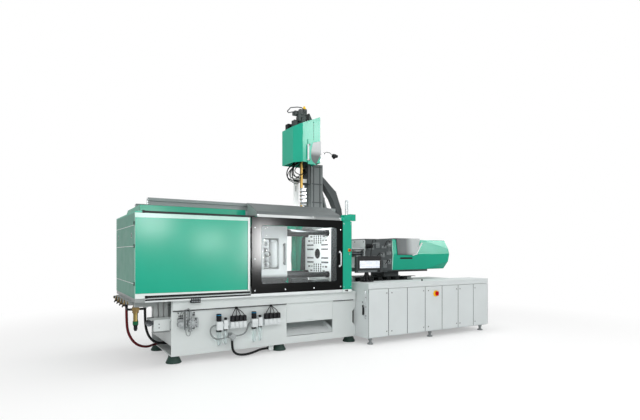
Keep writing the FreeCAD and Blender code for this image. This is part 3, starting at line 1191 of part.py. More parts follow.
RED_HOSE = [(-2976, -500, 735), (-2976, -500, 575), (-2960, -485, 395), (-2860, -405, 235),
            (-2690, -230, 152), (-2530, 0, 152), (-2350, 0, 152)]
BLACK_HOSE = [(-2784, -600, 712), (-2784, -600, 560), (-2760, -560, 410), (-2680, -455, 275),
              (-2530, -300, 193), (-2350, -300, 193)]
SUPPLY_HOSE = [(-1757, -790, 238), (-1757, -790, 165), (-1735, -783, 85), (-1660, -765, 38),
               (-1540, -730, 24), (-1410, -675, 26), (-1290, -640, 52), (-1185, -640, 52)]
AIR_HOSE_1 = [(-1967, -790, 450), (-2012, -790, 450), (-2050, -798, 395), (-2035, -812, 320),
              (-1975, -822, 276), (-1900, -822, 278), (-1849, -822, 294), (-1812, -822, 294)]
AIR_HOSE_2 = [(-1702, -790, 294), (-1650, -790, 294), (-1580, -790, 315), (-1540, -790, 385),
              (-1530, -790, 452), (-1490, -790, 452)]


def hose_gland():
    """Gland block under the base, where the air supply hose goes in."""
    return block((-1185.0, -1120.0), (-680.0, -600.0), (30.0, BASE_Z))


def bay_glands():
    """Gland blocks in the lower service bay, where the water hoses go in."""
    floor = BASE_Z + BASE_WALL
    red = block((-2350.0, -2300.0), (-30.0, 30.0), (floor, 182.0))
    black = block((-2350.0, -2300.0), (-330.0, -270.0), (floor, 222.0))
    return red, black


NODES = {
    "clamp_base": lambda: joined(clamp_base(), hose_gland(), *bay_glands()),
    "parts_chute": parts_chute,
    "chute_flap": chute_flap,
    "machine_feet": machine_feet,
    "front_apron": front_apron,
    "guard_rails": guard_rails,
    "fixed_platen": fixed_platen,
    "tie_bars": tie_bars,
    "end_platen": end_platen,
    "moving_platen": moving_platen,
    "piston_rod": piston_rod,
    "ejector": ejector,
    "clamp_cover_front": clamp_cover_front,
    "clamp_cover_rear": clamp_cover_rear,
    "clamp_cover_end": clamp_cover_end,
    "clamp_roof": clamp_roof,
    "roof_beams": roof_beams,
    "end_pan": end_pan,
    "guard_columns": guard_columns,
    "guard_frame": guard_frame,
    "guard_window": guard_window,
    "guard_hood": guard_hood,
    "guard_handle": guard_handle,
    "rear_guard_frame": rear_guard_frame,
    "rear_guard_window": rear_guard_window,
    "emergency_button": emergency_button,
    "cabinet_body": cabinet_body,
    "main_switch": main_switch,
    "injection_base": injection_base,
    "travel_rods": travel_rods,
    "injection_carriage": injection_carriage,
    "injection_barrel": injection_barrel,
    "injection_screw": injection_screw,
    "injection_drive": injection_drive,
    "injection_cover": injection_cover,
    "injection_hood": injection_hood,
    "vertical_column": vertical_column,
    "cable_duct": cable_duct,
    "vertical_carriage": vertical_carriage,
    "vertical_cover": vertical_cover,
    "vertical_dark_cover": vertical_dark_cover,
    "vertical_barrel": vertical_barrel,
    "vertical_screw": vertical_screw,
    "vertical_drive": vertical_drive,
    "terminal_arm": terminal_arm,
    "terminal": terminal,
    "lubrication_unit": lubrication_unit,
    "air_service_units": lambda: group([*air_service_units().Solids, hose_manifold()]),
    "water_filter": water_filter,
    "red_hose": lambda: tube("red_hose", RED_HOSE, RED_HOSE_D),
    "black_hose": lambda: tube("black_hose", BLACK_HOSE, BLACK_HOSE_D),
    "supply_hose": lambda: tube("supply_hose", SUPPLY_HOSE, SUPPLY_HOSE_D),
    "air_hoses": lambda: group([tube("air_hose_1", AIR_HOSE_1, AIR_HOSE_D),
                                tube("air_hose_2", AIR_HOSE_2, AIR_HOSE_D)]),
}

os.makedirs("parts", exist_ok=True)
for name, build in NODES.items():
    build().translated(FOOTPRINT).exportStep("parts/%s.step" % name)
for number in range(1, DOOR_COUNT + 1):
    cabinet_door(number).translated(FOOTPRINT).exportStep("parts/cabinet_door_%d.step" % number)
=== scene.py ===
import json
import math

import bmesh
import bpy
import numpy as np
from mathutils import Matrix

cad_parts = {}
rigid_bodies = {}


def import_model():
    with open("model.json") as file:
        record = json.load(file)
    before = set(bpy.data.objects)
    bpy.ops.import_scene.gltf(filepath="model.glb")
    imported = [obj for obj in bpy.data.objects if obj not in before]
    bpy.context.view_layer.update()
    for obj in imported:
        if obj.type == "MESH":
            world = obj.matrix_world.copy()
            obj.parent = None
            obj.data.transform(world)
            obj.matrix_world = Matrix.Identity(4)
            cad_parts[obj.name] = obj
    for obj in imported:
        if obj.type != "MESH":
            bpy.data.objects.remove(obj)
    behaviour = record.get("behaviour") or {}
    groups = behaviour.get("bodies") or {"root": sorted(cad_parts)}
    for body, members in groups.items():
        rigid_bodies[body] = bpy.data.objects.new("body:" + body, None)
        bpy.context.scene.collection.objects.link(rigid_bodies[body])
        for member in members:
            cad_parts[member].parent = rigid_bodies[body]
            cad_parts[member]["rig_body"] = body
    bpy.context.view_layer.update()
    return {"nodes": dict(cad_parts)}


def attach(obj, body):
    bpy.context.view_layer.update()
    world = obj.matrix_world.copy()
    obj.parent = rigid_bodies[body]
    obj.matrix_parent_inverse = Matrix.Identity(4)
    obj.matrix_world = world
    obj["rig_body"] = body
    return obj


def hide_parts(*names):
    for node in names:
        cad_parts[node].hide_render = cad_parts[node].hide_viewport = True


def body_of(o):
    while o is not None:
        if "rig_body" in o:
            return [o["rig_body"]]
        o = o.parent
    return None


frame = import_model()


# ------------------------------------------------------------------ clamp base
# Welded box of 12 mm steel plate, which carries the whole clamp unit. It is sprayed light grey
# after welding, so its edges are broken by 3 mm and its faces have a fine orange peel.
DATUM = np.array([49.5, 158.0, 0.0])
BASE_FRONT = -721
WAVE_LOW, WAVE_HIGH = 0.3, 0.7
SHARP_CORNER = math.radians(28)


def from_datum(points):
    """Millimetres from the platen face, the clamping axis and the floor, as metres in the frame."""
    return (np.asarray(points, dtype=float) + DATUM) / 1000.0


def seen(colour, shade=1.0):
    """A colour as a camera records it, 0 to 255, as the share of light that the surface returns."""
    level = np.array(colour, dtype=float) / 255.0
    return np.clip(np.where(level > 0.04, ((level + 0.055) / 1.055) ** 2.4, level / 12.92) * shade, 0, 1)


def set_sockets(made, sockets):
    """Constant values of a node's own sockets."""
    for socket, value in sockets.items():
        made.inputs[socket].default_value = value


def added(tree, kind, sockets=(), **facts):
    """New node of a kind, with its facts and the values of its sockets."""
    made = tree.nodes.new("ShaderNode" + kind)
    for fact, value in facts.items():
        setattr(made, fact, value)
    set_sockets(made, dict(sockets))
    return made


def finish(name, colour, rough, metal=0.0, coat=0.0):
    """Bare material, with the plain facts of its surface on the shader's own sockets."""
    material = bpy.data.materials.new(name)
    material.use_nodes = True
    shader = material.node_tree.nodes["Principled BSDF"]
    set_sockets(shader, {"Base Color": (*seen(colour), 1), "Roughness": rough, "Metallic": metal,
                         "Coat Weight": coat, "Coat Roughness": 0.2, "Specular IOR Level": 0.07})
    return material, material.node_tree, shader


def wave(tree, size, detail=3.0, stretch=(1, 1, 1)):
    """Noise whose waves are size metres long, divided by stretch along each axis."""
    place = added(tree, "TexCoord")
    turn = added(tree, "Mapping", {"Scale": stretch})
    noise = added(tree, "TexNoise", {"Scale": 1.0 / size, "Detail": detail})
    tree.links.new(place.outputs["Object"], turn.inputs["Vector"])
    tree.links.new(turn.outputs["Vector"], noise.inputs["Vector"])
    return noise.outputs["Fac"]


def drift(tree, shader, fac, dark, light):
    """Base colour that runs from dark to light between the two bounds of the noise."""
    ramp = added(tree, "ValToRGB")
    for stop, place, colour in zip(ramp.color_ramp.elements, (WAVE_LOW, WAVE_HIGH), (dark, light)):
        stop.position = place
        stop.color = (*colour, 1)
    tree.links.new(fac, ramp.inputs["Fac"])
    tree.links.new(ramp.outputs["Color"], shader.inputs["Base Color"])


def spread(tree, shader, socket, fac, low, high):
    """A socket that runs from low to high with the noise."""
    span = added(tree, "MapRange",
                 {"From Min": WAVE_LOW, "From Max": WAVE_HIGH, "To Min": low, "To Max": high})
    tree.links.new(fac, span.inputs["Value"])
    tree.links.new(span.outputs["Result"], shader.inputs[socket])


def relief(tree, shader, fac, height):
    """Bump of the given height in metres, from the noise."""
    bump = added(tree, "Bump", {"Strength": 1.0, "Distance": height})
    tree.links.new(fac, bump.inputs["Height"])
    tree.links.new(bump.outputs["Normal"], shader.inputs["Normal"])


def sprayed(name, colour, rough=0.38, coat=0.0, peel=0.000008):
    """Sprayed paint: its colour drifts by 3 % over 0.4 m, and its orange peel has 2 mm waves."""
    material, tree, shader = finish(name, colour, rough, coat=coat)
    drift(tree, shader, wave(tree, 0.4), seen(colour, 0.97), seen(colour, 1.03))
    spread(tree, shader, "Roughness", wave(tree, 0.15), rough - 0.03, rough + 0.05)
    relief(tree, shader, wave(tree, 0.002, 1.0), peel)
    return material


def rounded_edges(made, edge):
    """Bevel of edge millimetres on every corner sharper than 30 degrees, with the faces kept flat."""
    if edge:
        bevel = made.modifiers.new("edges", "BEVEL")
        bevel.width = edge / 1000.0
        bevel.segments = 2
        bevel.limit_method = "ANGLE"
        bevel.angle_limit = math.radians(30)
        bevel.harden_normals = True


def fitted(made, body, stands_for):
    """The piece in the scene, on its body, in place of the nodes it stands for."""
    bpy.context.scene.collection.objects.link(made)
    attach(made, body)
    if stands_for:
        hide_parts(*stands_for)
    return made


def dressed(name, mesh, material, edge, body, stands_for):
    """A mesh as a finished piece: one material, smooth but for its corners, and its edges broken."""
    mesh.materials.clear()
    mesh.materials.append(material)
    mesh.polygons.foreach_set("use_smooth", np.ones(len(mesh.polygons), dtype=bool))
    mesh.set_sharp_from_angle(angle=SHARP_CORNER)
    made = bpy.data.objects.new(name, mesh)
    rounded_edges(made, edge)
    return fitted(made, body, stands_for)


def eased(node, material, edge):
    """The solid's own form with its loose triangles merged and its edges broken; stands for the node."""
    name = node + "_form"
    mesh = frame["nodes"][node].data.copy()
    mesh.name = name
    work = bmesh.new()
    work.from_mesh(mesh)
    bmesh.ops.remove_doubles(work, verts=work.verts, dist=0.00001)
    bmesh.ops.dissolve_limit(work, angle_limit=math.radians(0.5), verts=work.verts, edges=work.edges)
    work.to_mesh(mesh)
    work.free()
    body = body_of(frame["nodes"][node])[0]
    dressed(name, mesh, material, edge, body, [node])


base_paint = sprayed("base_grey_paint", (207, 213, 212))
eased("clamp_base", base_paint, 3.0)


# ------------------------------------------------------------------ levelling feet
# Cast iron levelling pads under the base, painted dark green grey, and grey pads on spindles under
# the cabinet. They stand loose on the floor under the machine's weight.
PAD_FORM = [(0, 91), (3, 95), (13, 95), (17, 92), (72, 67), (78, 65), (90, 65), (94, 61), (100, 60)]
SPINDLE_FORM = [(0, 42), (3, 45), (14, 45), (18, 42), (26, 24), (30, 21), (62, 21), (64, 30), (84, 30),
                (86, 22), (100, 22)]


def woven(grid, hollow=False):
    """Faces of a grid of closed rings. The end rings are capped, or joined when the piece is hollow."""
    index = np.arange(grid.shape[0] * grid.shape[1]).reshape(grid.shape[:2])
    caps = [] if hollow else [index[0].tolist(), index[-1].tolist()]
    if hollow:
        index = np.concatenate([index, index[:1]])
    beside = np.roll(index, -1, axis=1)
    quads = np.stack([index[:-1], beside[:-1], beside[1:], index[1:]], axis=-1)
    return grid.reshape(-1, 3), quads.reshape(-1, 4).tolist() + caps


def turned(axis, centre, profile, sides, hollow=False):
    """Turned piece: each (place on the axis, radius) of the profile is carried round a full circle."""
    place, radius = np.array(profile, dtype=float).T
    turn = np.linspace(0, 2 * math.pi, sides, endpoint=False) + math.pi / sides
    grid = np.empty((len(place), sides, 3))
    first, second = ["XYZ".index(other) for other in "XYZ".replace(axis, "")]
    grid[..., "XYZ".index(axis)] = place[:, None]
    grid[..., first] = centre[0] + radius[:, None] * np.cos(turn)
    grid[..., second] = centre[1] + radius[:, None] * np.sin(turn)
    return woven(grid, hollow)


def piece(name, shells, material, edge=0.0, body="machine", stands_for=()):
    """One mesh of all the shells, with its outsides turned out and its edges broken."""
    starts = np.cumsum([0] + [len(points) for points, faces in shells])
    points = from_datum(np.concatenate([points for points, faces in shells]))
    faces = [[start + corner for corner in face]
             for start, shell in zip(starts, shells) for face in shell[1]]
    mesh = bpy.data.meshes.new(name)
    mesh.from_pydata(points.tolist(), [], faces)
    work = bmesh.new()
    work.from_mesh(mesh)
    bmesh.ops.recalc_face_normals(work, faces=work.faces)
    work.to_mesh(mesh)
    work.free()
    return dressed(name, mesh, material, edge, body, stands_for)


cast_paint = sprayed("pad_cast_paint", (54, 74, 68), 0.5, peel=0.0001)
pads = [turned("Z", (x, y), PAD_FORM, 48) for x in (-2445, -990, 210) for y in (-591, 290)]
piece("levelling_feet", pads, cast_paint, stands_for=["machine_feet"])
piece("cabinet_feet", [turned("Z", (x, y), SPINDLE_FORM, 32) for x in (345, 1568, 2791) for y in (-954, 330)],
      sprayed("spindle_grey_paint", (140, 145, 146), 0.45))


# ------------------------------------------------------------------ front apron and sockets
# Folded sheet along the top of the base, with the factory sockets in a dark plastic box that is
# screwed on it. Each of the eight sockets has a grey plastic flap.
eased("front_apron", base_paint, 2.0)


def drawn(axis, outline, span):
    """Flat outline, in the two other axes in XYZ order, drawn out along an axis and capped."""
    flat = np.array(outline, dtype=float)
    grid = np.empty((2, len(flat), 3))
    first, second = ["XYZ".index(other) for other in "XYZ".replace(axis, "")]
    grid[..., first] = flat[:, 0]
    grid[..., second] = flat[:, 1]
    grid[..., "XYZ".index(axis)] = np.array(span, dtype=float)[:, None]
    return woven(grid)


def slab(x, y, z):
    """Flat bar or plate between two values on each axis."""
    return drawn("Z", [(x[0], y[0]), (x[1], y[0]), (x[1], y[1]), (x[0], y[1])], z)


def plate(axis, first, second, radius, span, steps=6):
    """Plate or block whose corners are quarter circles: centre plus radius times cosine and sine."""
    quarter = np.linspace(0, math.pi / 2, steps)
    turn = np.concatenate([quarter + math.pi / 2 * n for n in range(4)])
    right, left = first[1] - radius, first[0] + radius
    top, low = second[1] - radius, second[0] + radius
    across = np.repeat([right, left, left, right], steps) + radius * np.cos(turn)
    along = np.repeat([top, top, low, low], steps) + radius * np.sin(turn)
    return drawn(axis, np.column_stack([across, along]), span)


def moulded(name, colour, rough=0.45, grain=0.00003):
    """Moulded plastic: a fine spark-eroded grain of 0.8 mm, and a gloss that changes a little."""
    material, tree, shader = finish(name, colour, rough)
    drift(tree, shader, wave(tree, 0.05), seen(colour, 0.9), seen(colour, 1.1))
    spread(tree, shader, "Roughness", wave(tree, 0.03), rough - 0.05, rough + 0.08)
    relief(tree, shader, wave(tree, 0.0008, 1.0), grain)
    return material


black_plastic = moulded("black_plastic", (30, 31, 33))
grey_plastic = moulded("socket_flap_plastic", (118, 124, 126))
piece("socket_panel", [plate("Y", (-2288, -2169), (748, 815), 5, (-804, -757))],
      black_plastic, 1.5)
# Black strip under the apron's edge: painted shadow of the gap beneath it.
piece("apron_shadow_strip", [slab(x, (-742, BASE_FRONT), (649, 660.5)) for x in ((-2488, -945), (-168, 186))],
      black_plastic)
piece("socket_flaps",
      [plate("Y", (x - 10, x + 10), (z - 9, z + 9), 3, (-807, -803.5))
       for x in (-2270, -2243, -2215, -2187) for z in (767, 797)],
      grey_plastic, 0.8)


# ------------------------------------------------------------------ parts chute and its flap
# Folded steel slide in the base, down which the mouldings fall to the front, and the painted flap
# that closes the upper half of its opening. The flap hangs on a pin hinge along its top edge.
def brushed(name, colour, rough, along, metal=1.0):
    """Drawn or ground metal: scratches 3 mm apart and many times as long along one axis."""
    material, tree, shader = finish(name, colour, rough, metal)
    drift(tree, shader, wave(tree, 0.2), seen(colour, 0.93), seen(colour, 1.05))
    spread(tree, shader, "Roughness", wave(tree, 0.01, 2.0, along), rough - 0.05, rough + 0.08)
    relief(tree, shader, wave(tree, 0.003, 2.0, along), 0.00001)
    return material


slide_steel = brushed("slide_steel", (222, 227, 227), 0.5, (1, 0.05, 0.05), 0.1)
eased("parts_chute", slide_steel, 1.0)
eased("chute_flap", base_paint, 1.5)
piece("flap_pull", [drawn("X", [(BASE_FRONT, 392), (-733, 392), (-736, 396), (-736, 408), (-733, 408),
                                (-732, 397), (BASE_FRONT, 397)], (-600, -520))],
      base_paint, 0.8, "chute_flap")


# ------------------------------------------------------------------ end pan, manifold and service arm
# Sheet pan under the covers' left end, with the cooling water manifold under it and the cable arm
# beside the base. The manifold is extruded bar with brass couplings screwed into its end face.
trough_paint = sprayed("trough_grey_paint", (150, 155, 154))
eased("end_pan", trough_paint, 1.5)
PORT_Y = [-500 + 230 * n for n in range(5)]


def pipe(path, diameter, sides=16):
    """Round bar along a path: each ring stands square to the path, beside the path's own plane."""
    line = np.array(path, dtype=float)
    way = np.gradient(line, axis=0)
    way /= np.linalg.norm(way, axis=1)[:, None]
    across = np.linalg.svd(way)[2][2]
    side = np.cross(way, across)
    side /= np.linalg.norm(side, axis=1)[:, None]
    up = np.cross(way, side)
    turn = np.linspace(0, 2 * math.pi, sides, endpoint=False)[:, None, None]
    grid = line + diameter / 2 * (np.cos(turn) * side + np.sin(turn) * up)
    return woven(grid.transpose(1, 0, 2))


def bent(points, radius, steps=8):
    """Path of straight runs, each corner turned into an arc that touches both runs."""
    corners = [np.array(point, dtype=float) for point in points]
    path = [corners[0]]
    for before, corner, after in zip(corners, corners[1:], corners[2:]):
        back = (before - corner) / np.linalg.norm(before - corner)
        ahead = (after - corner) / np.linalg.norm(after - corner)
        half = math.acos(np.clip(back @ ahead, -1, 1)) / 2
        reach = min(radius / math.tan(half), 0.48 * np.linalg.norm(before - corner),
                    0.48 * np.linalg.norm(after - corner))
        size = reach * math.tan(half)
        inward = (back + ahead) / np.linalg.norm(back + ahead)
        middle = corner + inward * size / math.sin(half)
        sweep = np.linspace(half - math.pi / 2, math.pi / 2 - half, steps)[:, None]
        sideways = (ahead - back) / np.linalg.norm(ahead - back)
        path.extend(middle + size * (np.sin(sweep) * sideways - np.cos(sweep) * inward))
    return np.array(path + [corners[-1]])


brass = brushed("coupling_brass", (128, 108, 72), 0.42, (1, 1, 0.2), 0.6)
dark_metal = brushed("blackened_steel", (52, 54, 56), 0.42, (1, 1, 0.2))
couplings = [turned("X", (y, 759), [(-3006, 12), (-3005, 15), (-2990, 15), (-2989, 12), (-2976, 12),
                                    (-2975, 20), (-2958, 20)], 24) for y in PORT_Y]
couplings += [turned("Z", (-2972, y), [(742, 15), (722, 15), (720, 18), (704, 18), (702, 14)], 24)
              for y in PORT_Y[1:]]
piece("water_couplings", couplings, brass, 0.6)
rings = [turned("X", (y, 759), [(-2998, 17), (-2997, 19), (-2990, 19), (-2989, 17)], 24) for y in PORT_Y]
rings += [turned("Z", (-2972, y), [(712, 20), (711, 21), (700, 21), (699, 19)], 24) for y in PORT_Y[1:]]
piece("coupling_rings", rings, black_plastic, 0.4)
levers = [pipe(bent([(-2972, y - 24, 742), (-2992, y - 24, 690),
                     (-2992, y + 24, 690), (-2972, y + 24, 742)], 14), 9, 10) for y in PORT_Y[1:]]
piece("coupling_levers", levers, dark_metal)
piece("service_arm_box", [plate("Y", (-2694, -2505), (414, 556), 6, (-652, -600)),
                          slab((-2505, -2490), (-648, -560), (430, 540))], base_paint, 1.5)
piece("service_arm_joint",
      [turned("Y", (-2748, 520), [(-668, 24), (-672, 36), (-650, 38), (-610, 38), (-606, 34)], 40),
       slab((-2748, -2690), (-640, -612), (496, 544))]
      + [turned("Y", (-2632, z), [(-652, 7), (-655, 6)], 16) for z in (456, 500)],
      dark_metal, 0.8)
piece("base_end_sheet",
      [slab((-2496, -2490), (-700, 392), (222, 404)), slab((-2502, -2490), (-700, 392), (396, 412))],
      base_paint, 1.0)


# ------------------------------------------------------------------ cooling water filter
# Screwed brass filter head and tube with a green union ring and a black bowl, hung from its lug
# under the pan. Two bent steel pipes join it to the red and the black water hose.
FILTER = (-2891, -600)
piece("filter_head", [turned("Z", FILTER, [(742, 22), (741, 30), (722, 30), (720, 36)], 32),
                      turned("Z", FILTER, [(720, 40), (662, 40)], 6),
                      turned("Z", FILTER, [(662, 35), (659, 37), (650, 37), (647, 31)], 32),
                      turned("X", (-600, 692), [(-2935, 17), (-2847, 17)], 6)],
      brass, 1.5, stands_for=["water_filter"])
piece("filter_tube",
      [turned("Z", FILTER, [(648, 29), (640, 29), (638, 26), (560, 26), (558, 29), (550, 29)], 40)],
      brushed("tube_brass", (128, 112, 68), 0.36, (1, 1, 0.1)), 0.8)
union_green = moulded("union_green_plastic", (28, 96, 62))
ring_turn = np.linspace(0, 2 * math.pi, 96, endpoint=False)
ring_out = 30.5 + 1.5 * (np.cos(16 * ring_turn) > 0)
ring_outline = np.column_stack([FILTER[0] + ring_out * np.cos(ring_turn),
                                FILTER[1] + ring_out * np.sin(ring_turn)])
piece("filter_union", [drawn("Z", ring_outline, (508, 550))], union_green, 0.8)
piece("filter_bowl", [turned("Z", FILTER, [(508, 27), (500, 27), (492, 22), (452, 22), (449, 19),
                                           (447, 15), (436, 15), (434, 12)], 40)],
      black_plastic, 0.5)
piece("filter_pipes",
      [pipe(bent([(-2930, -600, 692), (-2976, -600, 692), (-2976, -500, 700), (-2976, -500, 742)], 24), 27),
       pipe(bent([(-2850, -600, 692), (-2784, -600, 692), (-2784, -600, 728)], 20), 27),
       turned("Z", (-2784, -600), [(722, 15), (712, 15), (711, 17), (690, 17), (688, 14)], 24),
       turned("Z", (-2976, -500), [(745, 17), (716, 17), (714, 15), (700, 15)], 24)],
      black_plastic, 0.6)


# ------------------------------------------------------------------ lubrication pump and valve
# Central lubrication: a motor pump, a distributor and a round valve with bolted flanges, cast in
# aluminium and bolted to a steel plate on the base. Grey plastic lines of 8 mm run between them.
cast_alloy = brushed("cast_aluminium", (150, 155, 156), 0.5, (1, 1, 1), 0.12)
piece("lubrication_plate", [plate("Y", (-2440, -2215), (430, 640), 10, (-729, BASE_FRONT))],
      base_paint, 1.5, stands_for=["lubrication_unit"])


def ribbed(start, pitch, count, width, low, high):
    """Part of a turned profile: ribs one pitch apart, which rise from the low radius to the high one."""
    way = math.copysign(1, pitch)
    return [(start + pitch * n + way * along, radius) for n in range(count)
            for along, radius in ((0, low), (1, high), (width - 1, high), (width, low))]


piece("lubrication_pump",
      [turned("Y", (-2405, 488), [(-729, 33)] + ribbed(-736, -8, 7, 6, 33, 37)
              + [(-794, 33), (-796, 26)], 40),
       turned("Y", (-2405, 488), [(-796, 12), (-802, 12), (-803, 9)], 24),
       slab((-2436, -2374), (-765, -735), (526, 560))],
      cast_alloy, 1.0)
flange_bolts = [turned("Y", (-2272 + 43 * math.cos(angle), 500 + 43 * math.sin(angle)),
                       [(-826, 6), (-831, 6), (-832, 4)], 12)
                for angle in np.linspace(0.3, 2 * math.pi + 0.3, 8, endpoint=False)]
piece("lubrication_valve",
      [turned("Y", (-2272, 500), [(-729, 54), (-745, 54), (-747, 44), (-800, 44), (-802, 54), (-824, 54),
                                  (-826, 52)], 48),
       turned("Y", (-2272, 500), [(-826, 24), (-834, 23), (-836, 18)], 32),
       turned("Z", (-2285, -766), [(540, 17), (556, 17), (558, 21), (572, 21), (574, 16),
                                   (630, 16), (632, 21), (646, 21), (648, 18)], 24),
       turned("Z", (-2285, -766), [(395, 20), (398, 25), (412, 25), (414, 19), (442, 19),
                                   (444, 25), (458, 25), (460, 22)], 24),
       plate("X", (-806, BASE_FRONT), (445, 560), 12, (-2218, -2196))],
      cast_alloy, 1.0)
piece("lubrication_bolts", flange_bolts, dark_metal, 0.4)
piece("lubrication_distributor", [plate("X", (-811, -729), (420, 650), 6, (-2352, -2338))],
      cast_alloy, 0.8)
nipples = [turned("Y", (-2345, z), [(-811, 6), (-819, 6), (-820, 4)], 12) for z in (460, 500, 540, 580, 620)]
nipples += [turned("Z", (x, -776), [(z, 7), (z + 5, 8), (z + 12, 8), (z + 14, 6)], 16)
            for x in (-2425, -2405, -2385) for z in (560, 590)]
nipples += [turned("X", (-766, z), [(-2262, 8), (-2250, 8), (-2248, 11), (-2236, 11), (-2234, 8)], 16)
            for z in (437, 600)]
nipples += [turned("Y", (x, z), [(-729, 8), (-745, 8), (-747, 6)], 16)
            for x, z in ((-2425, 628), (-2230, 620), (-2232, 446))]
piece("lubrication_nipples", nipples, dark_metal, 0.4)


# ------------------------------------------------------------------ air service units
# Two sets of regulator, filter and valve island on one plate each. The bodies are pale die
# castings, knobs and coils black plastic, and the bowls clear polycarbonate with a metal drain.
valve_paint = sprayed("valve_body_paint", (214, 219, 220), 0.4)
AIR_Y = -790
PLATE_FRONT = -730
bowl_plastic, tree, shader = finish("bowl_polycarbonate", (222, 232, 232), 0.06)
set_sockets(shader, {"Transmission Weight": 0.65, "IOR": 1.3})
relief(tree, shader, wave(tree, 0.12, 1.0), 0.00001)
knob_turn = np.linspace(0, 2 * math.pi, 120, endpoint=False)


def grooved(x, y, radius, depth, count, z):
    """Round grip whose radius is a cosine wave: count grooves of the given depth."""
    reach = radius - depth * (0.5 + 0.5 * np.cos(count * knob_turn)) ** 2
    return drawn("Z", np.column_stack([x + reach * np.cos(knob_turn), y + reach * np.sin(knob_turn)]), z)


casts, blacks, bowls, drains, coils, wires = [], [], [], [], [], []
for knob_x, filter_x, island, top in ((-1932, -1845, (-1783, -1563), -1690),
                                      (-1455, -1370, (-1310, -1072), -1196)):
    casts += [slab((knob_x - 35, knob_x + 40), (AIR_Y - 42, PLATE_FRONT), (390, 497)),
              turned("Y", (knob_x, 440), [(-842, 17), (-838, 20), (-830, 20)], 32),
              slab((filter_x - 27, filter_x + 27), (AIR_Y - 30, PLATE_FRONT), (394, 510)),
              slab((knob_x + 40, filter_x - 27), (AIR_Y - 15, PLATE_FRONT), (430, 470)),
              slab((filter_x + 27, island[0]), (AIR_Y + 20, PLATE_FRONT), (430, 470)),
              slab(island, (AIR_Y + 10, PLATE_FRONT), (388, 480)),
              plate("Y", (knob_x - 30, island[1]), (405, 500), 6, (PLATE_FRONT, BASE_FRONT))]
    blacks += [grooved(knob_x, AIR_Y, 33, 3, 18, (503, 580)),
               turned("Z", (knob_x, AIR_Y), [(580, 33), (588, 31), (592, 26), (592.5, 4)], 48),
               turned("Z", (knob_x, AIR_Y), [(497, 27), (503, 27)], 48),
               grooved(knob_x, AIR_Y, 33, 4, 12, (364, 390)),
               turned("Z", (filter_x, AIR_Y), [(510, 17), (516, 17), (518, 20), (536, 20),
                                               (540, 15), (541, 3)], 32),
               grooved(filter_x, AIR_Y, 24, 3, 12, (378, 394))]
    bowls += [turned("Z", (knob_x, AIR_Y), [(364, 25), (222, 25), (210, 22), (203, 14)], 48),
              turned("Z", (filter_x, AIR_Y), [(378, 21), (226, 21), (214, 18), (208, 12)], 48)]
    drains += [turned("Z", (knob_x, AIR_Y), [(205, 12), (202, 13), (197, 13), (196, 8),
                                             (191, 8), (190, 5)], 24),
               turned("Z", (filter_x, AIR_Y), [(210, 10), (207, 11), (203, 11), (202, 6), (197, 6)], 24)]
    width = (island[1] - island[0]) / 4
    for n in range(4):
        left, right = island[0] + width * n, island[0] + width * (n + 1)
        casts.append(slab((left + 3, right - 3), (AIR_Y - 30, AIR_Y + 10), (400, 480)))
        casts.append(turned("Y", ((left + right) / 2, 424),
                            [(AIR_Y - 30, 11), (AIR_Y - 37, 11), (AIR_Y - 38, 8)], 24))
        coils.append(plate("Z", (left + 7, right - 7), (AIR_Y - 34, AIR_Y + 30), 6, (482, 548)))
        coils.append(slab((left + 13, right - 13), (AIR_Y - 26, AIR_Y + 20), (548, 556)))
        wires.append((top + 7 * (n - 1.5), (left + right) / 2))
piece("air_unit_bodies", casts, valve_paint, 2.0, stands_for=["air_service_units"])
piece("air_unit_knobs", blacks, black_plastic, 0.6)
piece("air_unit_bowls", bowls, bowl_plastic)
piece("air_unit_drains", drains, cast_alloy, 0.4)
piece("valve_coils", coils, black_plastic, 1.2)
sign_blue = moulded("blue_ring_plastic", (20, 140, 190))
piece("knob_rings", [turned("Z", (x, AIR_Y), [(574, 33.2), (574, 33.8), (580, 33.8), (580, 33.2)], 48)
                     for x in (-1932, -1455)], sign_blue)
piece("supply_fitting",
      [turned("Y", (-1757, 294), [(-736, 37), (-742, 37), (-744, 33), (-820, 33), (-824, 37),
                                  (-834, 37), (-838, 32)], 40),
       turned("Y", (-1757, 294), [(-838, 12), (-844, 12), (-845, 9)], 6),
       plate("Y", (-1790, -1730), (262, 330), 8, (-736, BASE_FRONT)),
       turned("Z", (-1757, AIR_Y), [(270, 17), (256, 17), (255, 20), (240, 20), (238, 16)], 24),
       turned("X", (-822, 294), [(-1780, 13), (-1798, 13), (-1799, 15), (-1811, 15), (-1812, 12)], 24),
       turned("X", (AIR_Y, 294), [(-1735, 13), (-1716, 13), (-1715, 15), (-1703, 15), (-1702, 12)], 24)],
      cast_alloy, 0.8)


# ------------------------------------------------------------------ hoses and valve cables
# Rubber hoses with a dull, faintly grained skin, pushed over their fittings. Each hangs between two
# fixed ends, so it takes up a smooth line, and the cables of the valves fan out from the apron.
def rubber(name, colour, rough=0.5):
    """Extruded hose: a dull skin with a fine grain of 1.5 mm and a little dust."""
    material, tree, shader = finish(name, colour, rough)
    drift(tree, shader, wave(tree, 0.08), seen(colour, 0.85), seen(colour, 1.15))
    spread(tree, shader, "Roughness", wave(tree, 0.04), rough - 0.08, rough + 0.1)
    relief(tree, shader, wave(tree, 0.0015, 1.0), 0.00005)
    return material


